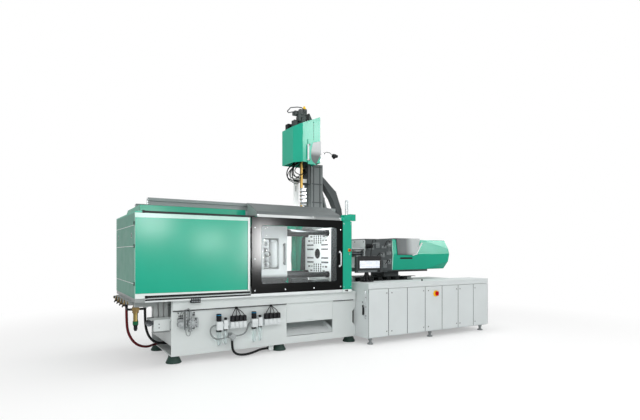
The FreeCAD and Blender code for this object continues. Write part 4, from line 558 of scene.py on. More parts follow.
def hung(name, route, diameter, material,
         body="machine", stands_for=()):
    """Hose or cable: a spline with the route as its control points, as long as it is drawn."""
    line = bpy.data.curves.new(name, "CURVE")
    line.dimensions = "3D"
    line.resolution_u = 12
    run = line.splines.new("NURBS")
    run.points.add(len(route) - 1)
    run.points.foreach_set("co", np.column_stack([from_datum(route), np.ones(len(route))]).ravel())
    run.order_u = 3
    run.use_endpoint_u = True
    line.materials.append(material)
    made = bpy.data.objects.new(name, line)
    path = bpy.data.meshes.new_from_object(made)
    spots = np.empty(3 * len(path.vertices))
    path.vertices.foreach_get("co", spots)
    bpy.data.meshes.remove(path)
    line.bevel_depth = diameter / 2000.0
    line.bevel_resolution = 5
    line.use_fill_caps = True
    fitted(made, body, stands_for)


red_rubber = rubber("red_hose_rubber", (88, 24, 28))
black_rubber = rubber("black_hose_rubber", (24, 25, 26))
grey_hose = rubber("grey_hose_plastic", (126, 131, 131), 0.4)
hung("red_water_hose",
     [(-2976, -500, 735), (-2976, -500, 575), (-2960, -485, 395), (-2860, -405, 235),
      (-2690, -230, 152), (-2530, 0, 152), (-2350, 0, 152)],
     31, red_rubber, stands_for=["red_hose"])
hung("black_water_hose",
     [(-2784, -600, 712), (-2784, -600, 560), (-2760, -560, 410), (-2680, -455, 275),
      (-2530, -300, 193), (-2350, -300, 193)],
     30, black_rubber, stands_for=["black_hose"])
hung("air_supply_hose",
     [(-1757, -790, 238), (-1757, -790, 165), (-1735, -783, 85), (-1660, -765, 38),
      (-1540, -730, 24), (-1410, -675, 26), (-1290, -640, 52), (-1185, -640, 52)],
     31, black_rubber, stands_for=["supply_hose"])
hung("left_air_hose",
     [(-1967, -790, 450), (-2012, -790, 450), (-2050, -798, 395), (-2035, -812, 320),
      (-1975, -822, 276), (-1900, -822, 278), (-1849, -822, 294), (-1812, -822, 294)],
     20, grey_hose, stands_for=["air_hoses"])
hung("right_air_hose",
     [(-1702, -790, 294), (-1650, -790, 294), (-1580, -790, 315), (-1540, -790, 385),
      (-1530, -790, 452), (-1490, -790, 452)],
     20, grey_hose, stands_for=["air_hoses"])
for number, (start, end) in enumerate(wires, 1):
    hung("valve_cable_%d" % number,
         [(start, -756, 664), (start, -768, 640), (end * 0.7 + start * 0.3, AIR_Y + 4, 600),
          (end, AIR_Y - 2, 557)],
         10, black_rubber)
lines = [[(-2405, -750, 560), (-2405, -752, 622), (-2372, -784, 668), (-2300, -784, 676), (-2285, -766, 648)],
         [(-2385, -750, 560), (-2387, -756, 600), (-2360, -786, 640), (-2310, -790, 700), (-2285, -766, 648)],
         [(-2345, -780, 420), (-2345, -782, 372), (-2320, -784, 345), (-2290, -775, 352), (-2285, -766, 395)]]
for number, line in enumerate(lines, 1):
    hung("lubrication_line_%d" % number, line, 8, grey_hose)


# ------------------------------------------------------------------ end platen, cylinder and rod
# Cast end platen with the clamping cylinder on it, painted pale grey, and the hard chromed ram that
# is bolted to the moving platen. The bare steel ejector slides in that platen.
platen_paint = sprayed("platen_paint", (238, 242, 242), 0.42)
eased("end_platen", platen_paint, 3.0)
chromed = brushed("hard_chrome", (176, 180, 184), 0.16, (0.1, 1, 1))
eased("piston_rod", chromed, 1.0)
eased("ejector", brushed("ejector_steel", (150, 154, 156), 0.3, (0.1, 1, 1)), 1.0)


# ------------------------------------------------------------------ tie bars
# Four ground and chromed bars through the three platens, with a hexagon nut at each end and a black
# ring where they enter the fixed platen. The moving platen slides on them.
AXIS_Z = 1353
TIE_OFF = 325
TIES = [(y, AXIS_Z + z) for y in (-TIE_OFF, TIE_OFF) for z in (-TIE_OFF, TIE_OFF)]
bars = [turned("X", tie, [(-2305, 36), (-2301, 40), (251, 40), (255, 36)], 56) for tie in TIES]
piece("tie_bars_round", bars, brushed("tie_bar_chrome", (66, 69, 71), 0.34, (0.1, 1, 1)),
      stands_for=["tie_bars"])
nuts = [turned("X", tie, [(x, 70), (x + 4, 75), (x + 51, 75), (x + 55, 70)], 6) for tie in TIES
        for x in (-2305, 200)]
piece("tie_bar_nuts", nuts, dark_metal, 1.5)
seals = [turned("X", tie, [(0, 49), (-42, 49), (-46, 46), (-46, 40.5)], 48) for tie in TIES]
piece("tie_bar_rings", seals, black_plastic, 0.8)


# ------------------------------------------------------------------ moving platen
# Cast platen that slides on the bed rails. Its paint runs from dark at its foot to light grey higher up,
# and a dark sheet covers the front of its foot: both are painted shade. The pocket behind its face
# holds the ejector, its hoses and a valve block. Both platens have rows of tapped holes 35 mm apart
# for the moulds.
def light_and_shade_ramp(name, first, second, axis, low, high, coat=0.16):
    """Paint that goes evenly from the first grey to the second between two datum places on an axis: painted
    light and shade.
    """
    material, tree, shader = finish(name, first, 0.34, coat=coat)
    place = added(tree, "TexCoord")
    apart = added(tree, "SeparateXYZ")
    start, end = [float(from_datum((value,) * 3)["XYZ".index(axis)]) for value in (low, high)]
    along = added(tree, "MapRange", {"From Min": start, "From Max": end}, interpolation_type="SMOOTHSTEP")
    tree.links.new(place.outputs["Object"], apart.inputs["Vector"])
    tree.links.new(apart.outputs[axis], along.inputs["Value"])
    drift(tree, shader, along.outputs["Result"], seen(first), seen(second))
    relief(tree, shader, wave(tree, 0.0008, 1.0), 0.00002)
    return material


moving_paint = light_and_shade_ramp("moving_platen_painted_shade", (70, 75, 76), (202, 207, 208), "Z", 935, 1125, 0.0)
eased("moving_platen", moving_paint, 3.0)
HOLE_D = 31
HOLE_PITCH = 35


def tapped_holes(face, way):
    """Rows of blind holes seen from outside: the dark mouth of each, in a grid round the centre."""
    rows = [(HOLE_PITCH * n, z) for z in (-140, -70, 70, 140) for n in range(4, 10)]
    rows += [(y, z) for z in (-210, 210) for y in (175, 245, 280)]
    rows += [(y, up * HOLE_PITCH * n) for up in (1, -1) for n in range(5, 10) for y in (35, 105)]
    rows += [(y, z) for z in (-280, 280) for y in (175, 210)]
    mouth = [(face, HOLE_D / 2), (face + way * 0.8, HOLE_D / 2 - 0.5)]
    return [turned("X", (side * y, AXIS_Z + z), mouth, 16) for y, z in rows for side in (-1, 1)]


hole_dark = moulded("thread_shadow", (20, 21, 22), 0.6)
shadow_paint = sprayed("side_sheet_paint", (76, 81, 82), 0.45)
bare_steel = brushed("bare_steel", (168, 172, 174), 0.35, (1, 1, 1))
piece("moving_hole_threads", tapped_holes(-760, 1), hole_dark, body="moving_platen")
piece("pocket_frame",
      [plate("Y", (-1172, -1158), (1140, 1566), 5, (-404, -399)),
       plate("Y", (-885, -870), (1140, 1566), 5, (-404, -399)),
       plate("Y", (-1136, -1040), (1150, 1556), 20, (-372, -366)),
       plate("Y", (-1030, -904), (1150, 1556), 45, (-372, -366)),
       turned("Z", (-968, -366), [(1172, 40), (1180, 50), (1200, 54), (1500, 54),
                                  (1522, 50), (1530, 40)], 56),
       slab((-1140, -900), (-366, -340), (1180, 1200)), slab((-1140, -900), (-366, -340), (1500, 1520))],
      moving_paint, 2.0, "moving_platen")
grey_steel = brushed("machined_steel", (132, 137, 138), 0.36, (1, 1, 0.2))
bosses = [turned("Y", (-1092, z), [(-372, 26), (-386, 26), (-388, 22), (-400, 20), (-402, 14)], 36)
          for z in (1200, 1268, 1340, 1412, 1490)]
piece("ejector_bosses",
      bosses + [turned("Z", (-806, -414), [(1186, 13), (1192, 18), (1500, 18), (1506, 13)], 32),
                slab((-830, -784), (-412, -399), (1200, 1226)),
                slab((-830, -784), (-412, -399), (1466, 1492))],
      grey_steel, 0.8, "moving_platen")
# Dark sheet over the front of the platen's foot: painted shade.
piece("platen_foot_shade_sheet",
      [slab((-1176, -764), (-405, -400), (852, 936)), slab((-1100, -840), (-412, -400), (880, 905))],
      shadow_paint, 1.0, "moving_platen")
for number, z in enumerate((1200, 1268, 1340, 1412), 1):
    hung("ejector_feed_%d" % number,
         [(-1120, -372, z + 34), (-1116, -412, z + 40), (-1070, -432, z + 38), (-1044, -430, z + 2),
          (-1072, -424, z - 30), (-1114, -408, z - 34), (-1119, -372, z - 38)] if number % 2 else
         [(-1126, -372, z + 30), (-1140, -410, z + 20), (-1134, -430, z - 12), (-1130, -412, z - 40),
          (-1124, -372, z - 44)],
         11, black_rubber if number > 2 else grey_hose, body="moving_platen")


# ------------------------------------------------------------------ fixed platen
# Cast platen bolted to the base, painted as the end platen, with its rows of tapped holes round the
# bore for the nozzle. A dark sheet closes the gap between it and the front column; its near black,
# like that of the sheet behind the platen, is painted shade.
eased("fixed_platen", platen_paint, 3.0)
piece("fixed_hole_threads", tapped_holes(0, -1), hole_dark)
piece("bore_liner", [turned("X", (0, AXIS_Z), [(0.5, 79.6), (0.5, 30), (90, 30), (90, 79.6)], 72, True)],
      hole_dark)
piece("centring_ring", [turned("X", (0, AXIS_Z), [(-0.4, 80), (-0.4, 84), (-1.2, 83), (-1.2, 80)], 72, True)],
      bare_steel)
sheet_paint = sprayed("gap_painted_shade", (46, 50, 51), 0.5)
piece("side_sheet", [plate("X", (-640, -400), (835, 1748), 6, (6, 10)),
                     plate("X", (400, 476), (835, 1748), 6, (6, 10)),
                     slab((4, 12), (-648, -636), (835, 1748))], sheet_paint, 0.8)
piece("rear_side_sheet", [drawn("Y", [(-97, 1069), (-64, 1627), (0, 1627), (0, 1069)], (402, 406))],
      sheet_paint, 0.5)
piece("bed_rail_covers",
      [drawn("X", [(y - 60, 840), (y - 60, 930), (y - 45, 948), (y + 45, 948), (y + 60, 930), (y + 60, 840)],
             (-335, -22)) for y in (-325, 325)]
      + [slab((-330, -200), (-420, -385), (846, 900))], shadow_paint, 1.5)


# ------------------------------------------------------------------ covers of the clamp unit
# Folded steel pans hung on the machine's frame. The front one has a green panel on a white lower
# band and a pale mint top band, whose pale mint is painted highlight of the green chamfer catching
# the light. The end one is in three parts, in the cover green greyed and darkened as painted shade,
# with pale joint strips that are painted highlights of its seams, black hinges and two slotted latches.
def glossed(name, colour):
    """Cover paint: sprayed colour under a clear coat, so that lamps show in it as soft patches."""
    return sprayed(name, colour, 0.34, coat=0.16, peel=0.000004)


green_paint = glossed("cover_green_paint", (14, 162, 132))
# Pale mint of the front pan's top band: painted highlight of its chamfer.
band_paint = glossed("pale_band_painted_highlight", (186, 222, 211))
white_band_paint = glossed("white_band_paint", (224, 231, 229))
# Cover green made greyer and darker for the end face: painted shade.
end_paint = sprayed("end_cover_painted_shade", (72, 138, 118), 0.4, 0.05, 0.000003)
eased("clamp_cover_front", band_paint, 2.0)
eased("clamp_cover_rear", green_paint, 2.0)
eased("clamp_cover_end", end_paint, 1.5)
piece("cover_panel",
      [drawn("Y", [(-2924, 888), (-2924, 1775), (-1534, 1784), (-1534, 880)], (-773.2, -771.6))],
      green_paint, 0.6)
piece("cover_low_band", [drawn("Y", [(-2924, 831), (-2924, 886), (-1534, 878), (-1534, 831)], (-773, -771.6)),
                         slab((-1531, -1502), (-773, -771.6), (831, 1826))],
      white_band_paint, 0.5)
low_rail = rubber("low_rail_rubber", (26, 27, 28), 0.4)
piece("cover_low_rail", [drawn("Y", [(-2800, 833), (-2800, 860), (-1504, 860), (-1504, 834)], (-776, -772)),
                         plate("Y", (-2818, -2786), (828, 862), 8, (-776.2, -772)),
                         slab((-1536, -1532), (-774.5, -772), (862, 1784))], low_rail, 0.4)
# Pale strips along the end cover's seams: painted highlights of the chamfered edges.
piece("end_joint_highlight_strips", [slab((-2926, -2922), (-745, 710), (z - 3, z + 3)) for z in (1000, 1440, 1687)],
      white_band_paint, 0.5)
HINGE_Z = (1001, 1442, 1708)
hinges = [plate("X", (-747, -731), (z - 22, z + 22), 5, (-2932, -2924)) for z in HINGE_Z]
hinges += [turned("Z", (-2933, -748), [(z - 20, 3), (z - 19, 4), (z + 19, 4), (z + 20, 3)], 16)
           for z in HINGE_Z]
piece("end_hinges", hinges, black_plastic, 1.0)
LATCH_Y = (516, -533)
latches = [plate("X", (y - 20, y + 20), (1540, 1602), 12, (-2927, -2924)) for y in LATCH_Y]
piece("end_latch_plates", latches, bare_steel, 0.8)
piece("end_latch_slots", [plate("X", (y - 9, y + 9), (1549, 1593), 8, (-2928, -2926)) for y in LATCH_Y],
      black_plastic, 0.4)


# ------------------------------------------------------------------ roof and roof beams
# Roof sheet with its raised middle, edged with a black rubber rail towards the front, and the two
# aluminium beams on which the hoods of the guards run, each closed with a bolted end plate.
eased("clamp_roof", green_paint, 2.0)
black_rail = rubber("rail_rubber", (28, 29, 30), 0.4)
rail_profile = [(-776, 1831), (-776, 1853), (-773, 1856), (-764, 1856), (-764, 1831)]
piece("roof_edge_rail", [drawn("X", rail_profile, (-2827, -1440)),
                         plate("Y", (-2846, -2818), (1828, 1862), 8, (-776.5, -764))],
      black_rail, 0.8)
beam_paint = brushed("beam_anodised", (126, 132, 132), 0.5, (0.05, 1, 1), 0.08)
eased("roof_beams", beam_paint, 2.5)
BEAM_Y = (-415, 415)
ends = [plate("X", (y - 32, y + 32), (1960, 2045), 8, (-2724, -2720)) for y in BEAM_Y]
ends += [turned("X", (y, z), [(-2724, 8), (-2729, 8), (-2731, 5)], 12) for y in BEAM_Y for z in (1985, 2022)]
piece("beam_end_plates", ends, bare_steel, 0.8)


# ------------------------------------------------------------------ guard tracks and columns
# Extruded tracks in which the guards run, the green columns on which they close, and the stop
# button in its yellow collar. A rubber plug closes the end of the front track.
GUARD_FACE = -800
track_metal = brushed("track_metal", (198, 203, 203), 0.45, (0.05, 1, 1), 0.1)
eased("guard_rails", track_metal, 1.5)
# The black rubber rail is drawn taller than itself so that it also stands for the shadow gap under the track:
# partly painted shade.
piece("track_rail_and_shadow_gap",
      [drawn("X", [(-803, 803), (-803, 820), (-801, 822), (-799, 822), (-799, 803)], (-2805, -1504)),
       turned("Y", (-2811, 811), [(-799, 10), (-804, 10), (-806, 8)], 24),
       turned("Y", (30, 806), [(-799, 13), (-812, 13), (-815, 9)], 24),
       slab((-8, 30), (-812, -799), (799, 813))],
      black_rail, 0.8)
eased("guard_columns", green_paint, 2.0)
piece("front_column_foot", [plate("Z", (-42, 117), (-801, -640), 5, (783, 822))],
      white_band_paint, 1.0)
red_plastic = moulded("button_red_plastic", (196, 26, 30), 0.3, 0.00001)
yellow_plastic = moulded("collar_yellow_plastic", (236, 190, 30), 0.35)
STOP = (72, 1403)
mushroom = [(-812, 18), (-816, 20), (-820, 20), (-824, 17.5), (-826, 12), (-826.3, 3)]
piece("stop_button", [turned("Y", STOP, mushroom, 40), turned("Y", STOP, [(-812, 8), (-780, 8)], 24)],
      red_plastic, body="emergency_button", stands_for=["emergency_button"])
piece("button_collar",
      [turned("Y", STOP, [(-800, 10), (-800, 25), (-803, 25), (-805, 22), (-805, 10)], 48, True)],
      yellow_plastic, 0.3)
piece("column_key_switch", [turned("Y", (76, 1345), [(-800, 11), (-804, 11), (-805, 9)], 32)],
      cast_alloy, 0.4)


def pan_heads(places, diameter, height=5.0, way=-1):
    """Screws with low round heads: from the sheet, out by height, with a rounded rim."""
    radius = diameter / 2
    return [turned("Y", (x, z), [(y, radius), (y + way * height * 0.5, radius),
                                 (y + way * height * 0.85, radius * 0.8),
                                 (y + way * height, radius * 0.35)], 20) for x, y, z in places]


piece("column_head", [drawn("Y", [(62, 1826), (117, 1826), (117, 1852), (262, 1852), (262, 1952), (150, 1952),
                                  (150, 1880), (62, 1880)], (-700, -646))],
      green_paint, 2.0)
piece("column_screws", pan_heads([(x, GUARD_FACE, z) for x in (-25, 100) for z in (860, 1795)], 11),
      bare_steel)


# ------------------------------------------------------------------ front guard
# Sliding guard: a welded steel frame, sprayed gloss black, with a clear pane in its rebate, a
# white bow handle, and a folded hood of brushed sheet that closes the top.
gloss_black = sprayed("guard_gloss_black", (5, 6, 6), 0.3, coat=0.2, peel=0.000002)
set_sockets(gloss_black.node_tree.nodes["Principled BSDF"],
            {"Specular IOR Level": 0.0, "Coat Roughness": 0.16})
eased("guard_frame", gloss_black, 2.0)
pane_plastic, tree, shader = finish("guard_pane_plastic", (253, 255, 255), 0.0, coat=1.0)
set_sockets(shader, {"Transmission Weight": 1.0, "IOR": 1.04, "Coat IOR": 1.22})
spread(tree, shader, "Coat Roughness", wave(tree, 0.6, 1.0), 0.3, 0.4)
for pane in ("guard_window", "rear_guard_window"):
    for place in frame["nodes"][pane].material_slots:
        place.material = pane_plastic
guard_screws = [(-1445, 1697), (-1445, 1282), (-1447, 862), (-994, 862), (-540, 864), (-85, 1704), (-85, 868)]
piece("guard_screws", pan_heads([(x, GUARD_FACE, z) for x, z in guard_screws], 17),
      bare_steel, body="front_guard")
hood_metal = brushed("hood_brushed_sheet", (100, 106, 106), 0.42, (0.03, 1, 1), 0.05)
eased("guard_hood", hood_metal, 1.5)
# The fascia strip's grey runs from light at its left end to dark grey at its right: a painted reflection.
piece("hood_fascia_strip",
      [drawn("X", [(-801.5, 1841), (-790, 1878), (-788, 1878), (-799, 1841)], (-1409, -86))],
      light_and_shade_ramp("fascia_painted_reflection", (210, 214, 214), (104, 110, 110), "X", -1100, -150),
      0.0, "front_guard")
hood_screws = [turned("Y", (x, 1872), [(-788, 9), (-794, 9), (-797, 6)], 20) for x in (-1398, -551, -99)]
piece("hood_screws", hood_screws, bare_steel, 0.3, "front_guard")
piece("hood_end",
      [drawn("X", [(-794, 1860), (-771, 1918), (-462, 2050), (-456, 2050), (-456, 1860)], (-1410, -1406))],
      sprayed("hood_end_paint", (166, 171, 171), 0.4), 0.8, "front_guard")
white_plastic = moulded("handle_white_plastic", (228, 231, 232), 0.35)


def bow_handle(x, face, way, low):
    """Bow of 17 mm rod that stands 38 mm off the sheet, with a turned foot at each end."""
    high, off = 1377, face + 38 * way
    grip = bent([(x, face, low), (x, off, low + 10), (x, off, high - 10), (x, face, high)], 26)
    foot = [(face, 15), (face + 6 * way, 15), (face + 9 * way, 10)]
    return [pipe(grip, 17, 20)] + [turned("Y", (x, z), foot, 28) for z in (low, high)]


piece("guard_bow_handle", bow_handle(-100, GUARD_FACE, -1, 1170), white_plastic,
      body="front_guard", stands_for=["guard_handle"])
REAR_FACE = 765
eased("rear_guard_frame", green_paint, 2.0)
piece("rear_guard_screws",
      pan_heads([(x, REAR_FACE, z) for x in (-1445, -30) for z in (870, 1280, 1700)], 17, way=1),
      bare_steel, body="rear_guard")


# ------------------------------------------------------------------ cabinet
# Sheet steel cabinet with seven hung doors in front of the injection base. Each door is a folded
# pan with two quarter-turn locks, and the lid is in two pieces with a small black knob.
DOOR_FACE = -1044
DOOR_LEFT = 246.5
DOOR_PITCH = 378
LOCK_Z = (760, 182)
door_paint = sprayed("door_grey_paint", (206, 212, 212), 0.42)
eased("cabinet_body", door_paint, 2.0)
lock_form = [(DOOR_FACE, 10), (DOOR_FACE - 0.8, 10), (DOOR_FACE - 1.2, 8)]
for number, lock_x in enumerate((590, 689, 1345, 1450, 2100, 2180, 2556), 1):
    door = "cabinet_door_%d" % number
    eased(door, door_paint, 1.2)
    bodies = [turned("Y", (lock_x, z), lock_form, 24) for z in LOCK_Z]
    slots = [slab((lock_x - 1.5, lock_x + 1.5), (DOOR_FACE - 1.5, DOOR_FACE - 1), (z - 6, z + 6))
             for z in LOCK_Z]
    piece("door_locks_%d" % number, bodies, dark_metal, body=door)
    piece("door_lock_slots_%d" % number, slots, bare_steel, body=door)
    # Dark strips along each door's sides: painted shade in the gaps between the doors.
    left = DOOR_LEFT + DOOR_PITCH * (number - 1)
    piece("door_gap_shade_%d" % number,
          [slab((x, x + 3.5), (DOOR_FACE - 0.6, DOOR_FACE + 4), (116, 824)) for x in (left, left + 371.5)],
          shadow_paint, body=door)
piece("lid_knob",
      [turned("Z", (1352, -1000), [(915, 9), (922, 8), (926, 13), (936, 14), (941, 10), (942, 3)], 28)],
      black_plastic)
piece("switch_plate", [plate("Y", (1556, 1668), (658, 756), 44, (-1049.5, -1046.5))],
      yellow_plastic, 0.8, "cabinet_door_4")
knob_form = [(-1049.6, 35), (-1053, 37), (-1062, 37), (-1065, 34)]
piece("switch_knob",
      [turned("Y", (1630, 707), knob_form, 48), plate("Y", (1618, 1642), (672, 742), 9, (-1082, -1063)),
       slab((1626, 1634), (-1050, -1030), (703, 711))],
      red_plastic, 1.2, "main_switch", ["main_switch"])
piece("side_conduit",
      [pipe(bent([(245, -982, 796), (229, -982, 796), (229, -982, 392), (245, -982, 392)], 12), 11)],
      bare_steel)
piece("side_connector", [plate("X", (-934, -908), (440, 556), 6, (230, 245)),
                         turned("Z", (232, -921), [(556, 9), (566, 9), (568, 12), (584, 12), (586, 8)], 24),
                         turned("X", (-899, 630), [(245, 9), (240, 9), (238, 6)], 20)],
      black_plastic, 0.8)
piece("conduit_clips", [slab((229, 245), (-991, -973), (z, z + 8)) for z in (700, 560, 430)],
      dark_metal, 0.5)
piece("notch_insert", [drawn("Y", [(184, 318), (184, 476), (200, 492), (200, 302)], (-722.5, -712))],
      black_plastic, 0.8)


# ------------------------------------------------------------------ horizontal injection unit
# Base, travel rods and carriage of the horizontal unit. The carriage is a dark sprayed casting,
# crowded with hoses, valve blocks and a small motor, and draws itself along the two dark rods.
eased("injection_base", base_paint, 2.0)
carriage_paint = sprayed("carriage_dark_paint", (78, 83, 84), 0.4)
eased("injection_carriage", carriage_paint, 3.0)
ROD_Y = (-210, 210)
rods = [turned("X", (y, AXIS_Z), [(200, 30), (1046, 30), (1050, 27)], 48) for y in ROD_Y]
piece("travel_rods_round", rods, brushed("travel_rod_steel", (58, 61, 63), 0.26, (0.1, 1, 1)),
      stands_for=["travel_rods"])
barrel_steel = brushed("barrel_steel", (150, 153, 154), 0.34, (0.1, 1, 1))
eased("injection_barrel", barrel_steel, 1.5)
eased("injection_screw", chromed, 0.6)
eased("injection_drive", carriage_paint, 2.0)
bands = [turned("X", (0, AXIS_Z), [(x, 55), (x, 61), (x + 52, 61), (x + 52, 55)], 48, True)
         for x in (380, 450, 520, 590, 660)]
piece("barrel_heater_bands", bands, brushed("heater_mica_steel", (120, 118, 112), 0.4, (0.2, 1, 1)),
      0.8, "injection_unit")
piece("carriage_motor",
      [turned("X", (-334, 1478), [(750, 22), (752, 26)] + ribbed(756, 9, 8, 6, 27, 33) + [(836, 26)], 40),
       plate("X", (-362, -299), (1450, 1506), 8, (832, 868))],
      black_plastic, 0.8, "injection_unit")
links = [plate("Y", (430 + 36 * n, 462 + 36 * n), (1418, 1452), 8, (-262, -206)) for n in range(13)]
piece("energy_chain", links + [slab((420, 905), (-250, -218), (1428, 1442))],
      moulded("chain_grey_plastic", (206, 210, 211), 0.5), 1.2, "injection_unit")
piece("chain_trough",
      [drawn("X", [(-270, 1410), (-270, 1424), (-267, 1424), (-267, 1413), (-201, 1413), (-201, 1424),
                   (-198, 1424), (-198, 1410)], (404, 760))],
      carriage_paint, 0.8, "injection_unit")
block_paint = sprayed("block_grey_paint", (112, 117, 118), 0.42)
blocks, ports = [], []
for x, z, wide, high in ((790, 1120, 90, 70), (900, 1105, 70, 110), (990, 1150, 110, 60),
                         (1120, 1110, 80, 130), (1220, 1170, 80, 90), (800, 1230, 70, 90),
                         (905, 1260, 120, 60), (1060, 1290, 90, 80), (1190, 1330, 110, 60),
                         (800, 1420, 120, 70), (960, 1450, 80, 90), (1080, 1440, 110, 50),
                         (1220, 1470, 80, 70)):
    blocks.append(plate("Y", (x, x + wide), (z, z + high), 6, (-317, -299)))
    ports.append(turned("Y", (x + wide * 0.3, z + high * 0.5),
                        [(-317, 12), (-321, 12), (-322, 9), (-328, 8)], 20))
    ports.append(turned("Y", (x + wide * 0.72, z + high * 0.5), [(-317, 9), (-324, 9), (-325, 6)], 6))
piece("carriage_valve_blocks", blocks, block_paint, 2.0, "injection_unit")
piece("carriage_ports", ports, cast_alloy, 0.4, "injection_unit")
runs = [((802, 1165), (940, 1560)), ((921, 1160), (1080, 1180)), ((817, 1455), (984, 1495)),
        ((1144, 1175), (1243, 1215)), ((941, 1290), (1087, 1330)), ((1159, 1465), (1223, 1360)),
        ((1113, 1465), (1250, 1540))]
for number, ((x0, z0), (x1, z1)) in enumerate(runs, 1):
    out, high = -345 - 8 * (number % 3), max(z0, z1) + 30
    hung("carriage_hose_%d" % number,
         [(x0, -326, z0), (x0 + 3, out, z0 + 4), (x0 * 0.7 + x1 * 0.3, out - 12, high),
          (x0 * 0.3 + x1 * 0.7, out - 12, high), (x1 - 3, out, z1 + 4), (x1, -326, z1)],
         12, black_rubber if number % 3 else grey_hose, body="injection_unit")


# ------------------------------------------------------------------ back of the machine
# Folded back panels of the two bases with their joints, air louvres and screws, and the bow handle
# of the rear guard. The back is not in the photograph and follows machines of this kind.
piece("back_panel_joints", [slab((x, x + 5), (419, 421.2), (112, 934)) for x in (860, 1500, 2140)]
      + [slab((x, x + 5), (419, 421.2), (112, 776)) for x in (-1700, -900, -100)], shadow_paint)
BACK = 420
louvres = [drawn("X", [(BACK, z), (BACK + 7, z + 2), (BACK + 7, z + 5), (BACK, z + 14)], (left, left + 150))
           for left in (950, 1130, 2230, 2410) for z in range(560, 800, 24)]
piece("back_louvres", louvres, base_paint, 0.6)
piece("back_screws",
      pan_heads([(x, BACK, z) for x in (815, 905, 1455, 1545, 2095, 2185, 2700)
                 for z in (150, 900)], 13, 4, 1),
      bare_steel)
piece("rear_bow_handle", bow_handle(-60, REAR_FACE, 1, 1180), white_plastic, body="rear_guard")


# ------------------------------------------------------------------ green housing and dark hood
# Moulded housing over the drive: a ridged green shell with an open slot, and the dark cap at the
# feed end, whose pale seal shows along its edges.
housing_green = glossed("housing_green_paint", (22, 164, 134))
side = [(1330, 290, 1070), (1330, 310, 1344), (1330, 280, 1600), (2043, 280, 1600), (2675, 226, 1600),
        (2702.6, 298.4, 1443), (2720, 310, 1344), (2697.5, 300, 1207), (2675, 204, 1070), (2095, 290, 1070)]
corners = [(x, -y, z) for x, y, z in side] + side
half = [(0, 1, 6, 7, 9), (1, 2, 3, 5, 6), (3, 4, 5), (7, 8, 9)]
faces = half + [tuple(corner + 10 for corner in face) for face in half]
faces += [(2, 3, 13, 12), (3, 4, 14, 13), (0, 9, 19, 10), (9, 8, 18, 19), (6, 5, 4, 14, 15, 16),
          (6, 7, 8, 18, 17, 16)]
shell = piece("housing_shell", [(np.array(corners, dtype=float), faces)], housing_green, 0.0,
              "injection_unit", ["injection_cover"])
wall = shell.modifiers.new("wall", "SOLIDIFY")
wall.thickness = 0.006
wall.offset = -1
shell.data.shade_flat()
rounded_edges(shell, 3.0)
slot_dark = moulded("slot_dark_plastic", (26, 30, 30), 0.5)
piece("housing_slot", [plate("Y", (1505, 1795), (1257, 1287), 10, (-306, -299))],
      slot_dark, 0.8, "injection_unit")
# The cap's grey runs from dark to light along the machine's length: painted shade and reflection.
hood_grey = light_and_shade_ramp("hood_painted_light_plastic", (84, 90, 91), (168, 174, 174), "X", 1420, 2000, 0.08)
eased("injection_hood", hood_grey, 3.0)
piece("hood_trim",
      [drawn("Y", [(2008, 1548), (2020, 1543), (1905, 1368), (1884, 1340), (1790, 1314), (1786, 1327),
                   (1876, 1352), (1893, 1374)], (-326, -300))],
      glossed("hood_trim_white", (236, 241, 240)), 1.0, "injection_unit")
piece("housing_seal",
      [drawn("X", [(-311.5, 1344), (-292, 1072), (-290, 1072), (-309, 1344), (-283, 1580), (-285, 1580)],
             (1331, 1346))],
      glossed("seal_mint_paint", (170, 226, 208)), 0.4, "injection_unit")
piece("base_rail_covers",
      [slab((560, 1880), (y - 45, y + 45), (950, 958)) for y in (-245, 245)]
      + [slab((620 + 190 * n, 700 + 190 * n), (-330, -205), (880, 950.5)) for n in range(6)]
      + [drawn("X", [(-420, 880), (-420, 905), (-412, 912), (-340, 912), (-332, 905), (-332, 880)],
               (540, 1700))],
      slot_dark, 1.2)
piece("carriage_end_face", [plate("X", (-285, 285), (1110, 1585), 24, (754, 760.5))],
      platen_paint, 1.5, "injection_unit")
piece("carriage_end_rings",
      [turned("X", (y, AXIS_Z), [(736, 44), (740, 48), (754, 48)], 40) for y in ROD_Y]
      + [turned("X", (y, z), [(744, 8), (746, 10), (754, 10)], 6) for y in (-250, 0, 250)
         for z in (1140, 1550)],
      block_paint, 1.0, "injection_unit")
piece("under_tray_edge", [slab((1240, 2180), (-282, -276), (1036, 1052))], slot_dark, 1.0,
      "injection_unit")


# ------------------------------------------------------------------ tower, duct and platform
# Welded tower on the fixed platen with its platform and strut, the cable duct beside it, and the
# bright pipes and the green bracket at its foot. The tower and the duct are sprayed in two greys.
tower_paint = sprayed("tower_grey_paint", (112, 118, 118), 0.42)
eased("vertical_column", tower_paint, 2.5)
duct_paint = sprayed("duct_dark_paint", (74, 79, 80), 0.45)
eased("cable_duct", duct_paint, 4.0)
hoop = bent([(548, -20, 1793), (548, -20, 2250), (592, -20, 2250), (592, -20, 1793)], 21)
low_hoop = bent([(440, -22, 1793), (440, -22, 1960), (520, -22, 1960), (520, -22, 1793)], 30)
hoop_steel = brushed("hoop_dull_steel", (138, 144, 145), 0.45, (1, 1, 0.1))
piece("platform_hoops", [pipe(hoop, 22), pipe(low_hoop, 22)]
      + [turned("Z", (x, y), [(1793, 21), (1799, 21), (1802, 16)], 28)
         for x, y in ((548, -20), (592, -20), (440, -22), (520, -22))],
      hoop_steel)
piece("green_bracket",
      [drawn("X", [(-795, 1830), (-795, 1862), (-760, 1900), (-640, 1900), (-640, 1892), (-756, 1892),
                   (-787, 1858), (-787, 1830)], (-38, -4)),
       slab((-38, -4), (-795, -660), (1830, 1838))],
      green_paint, 1.0)
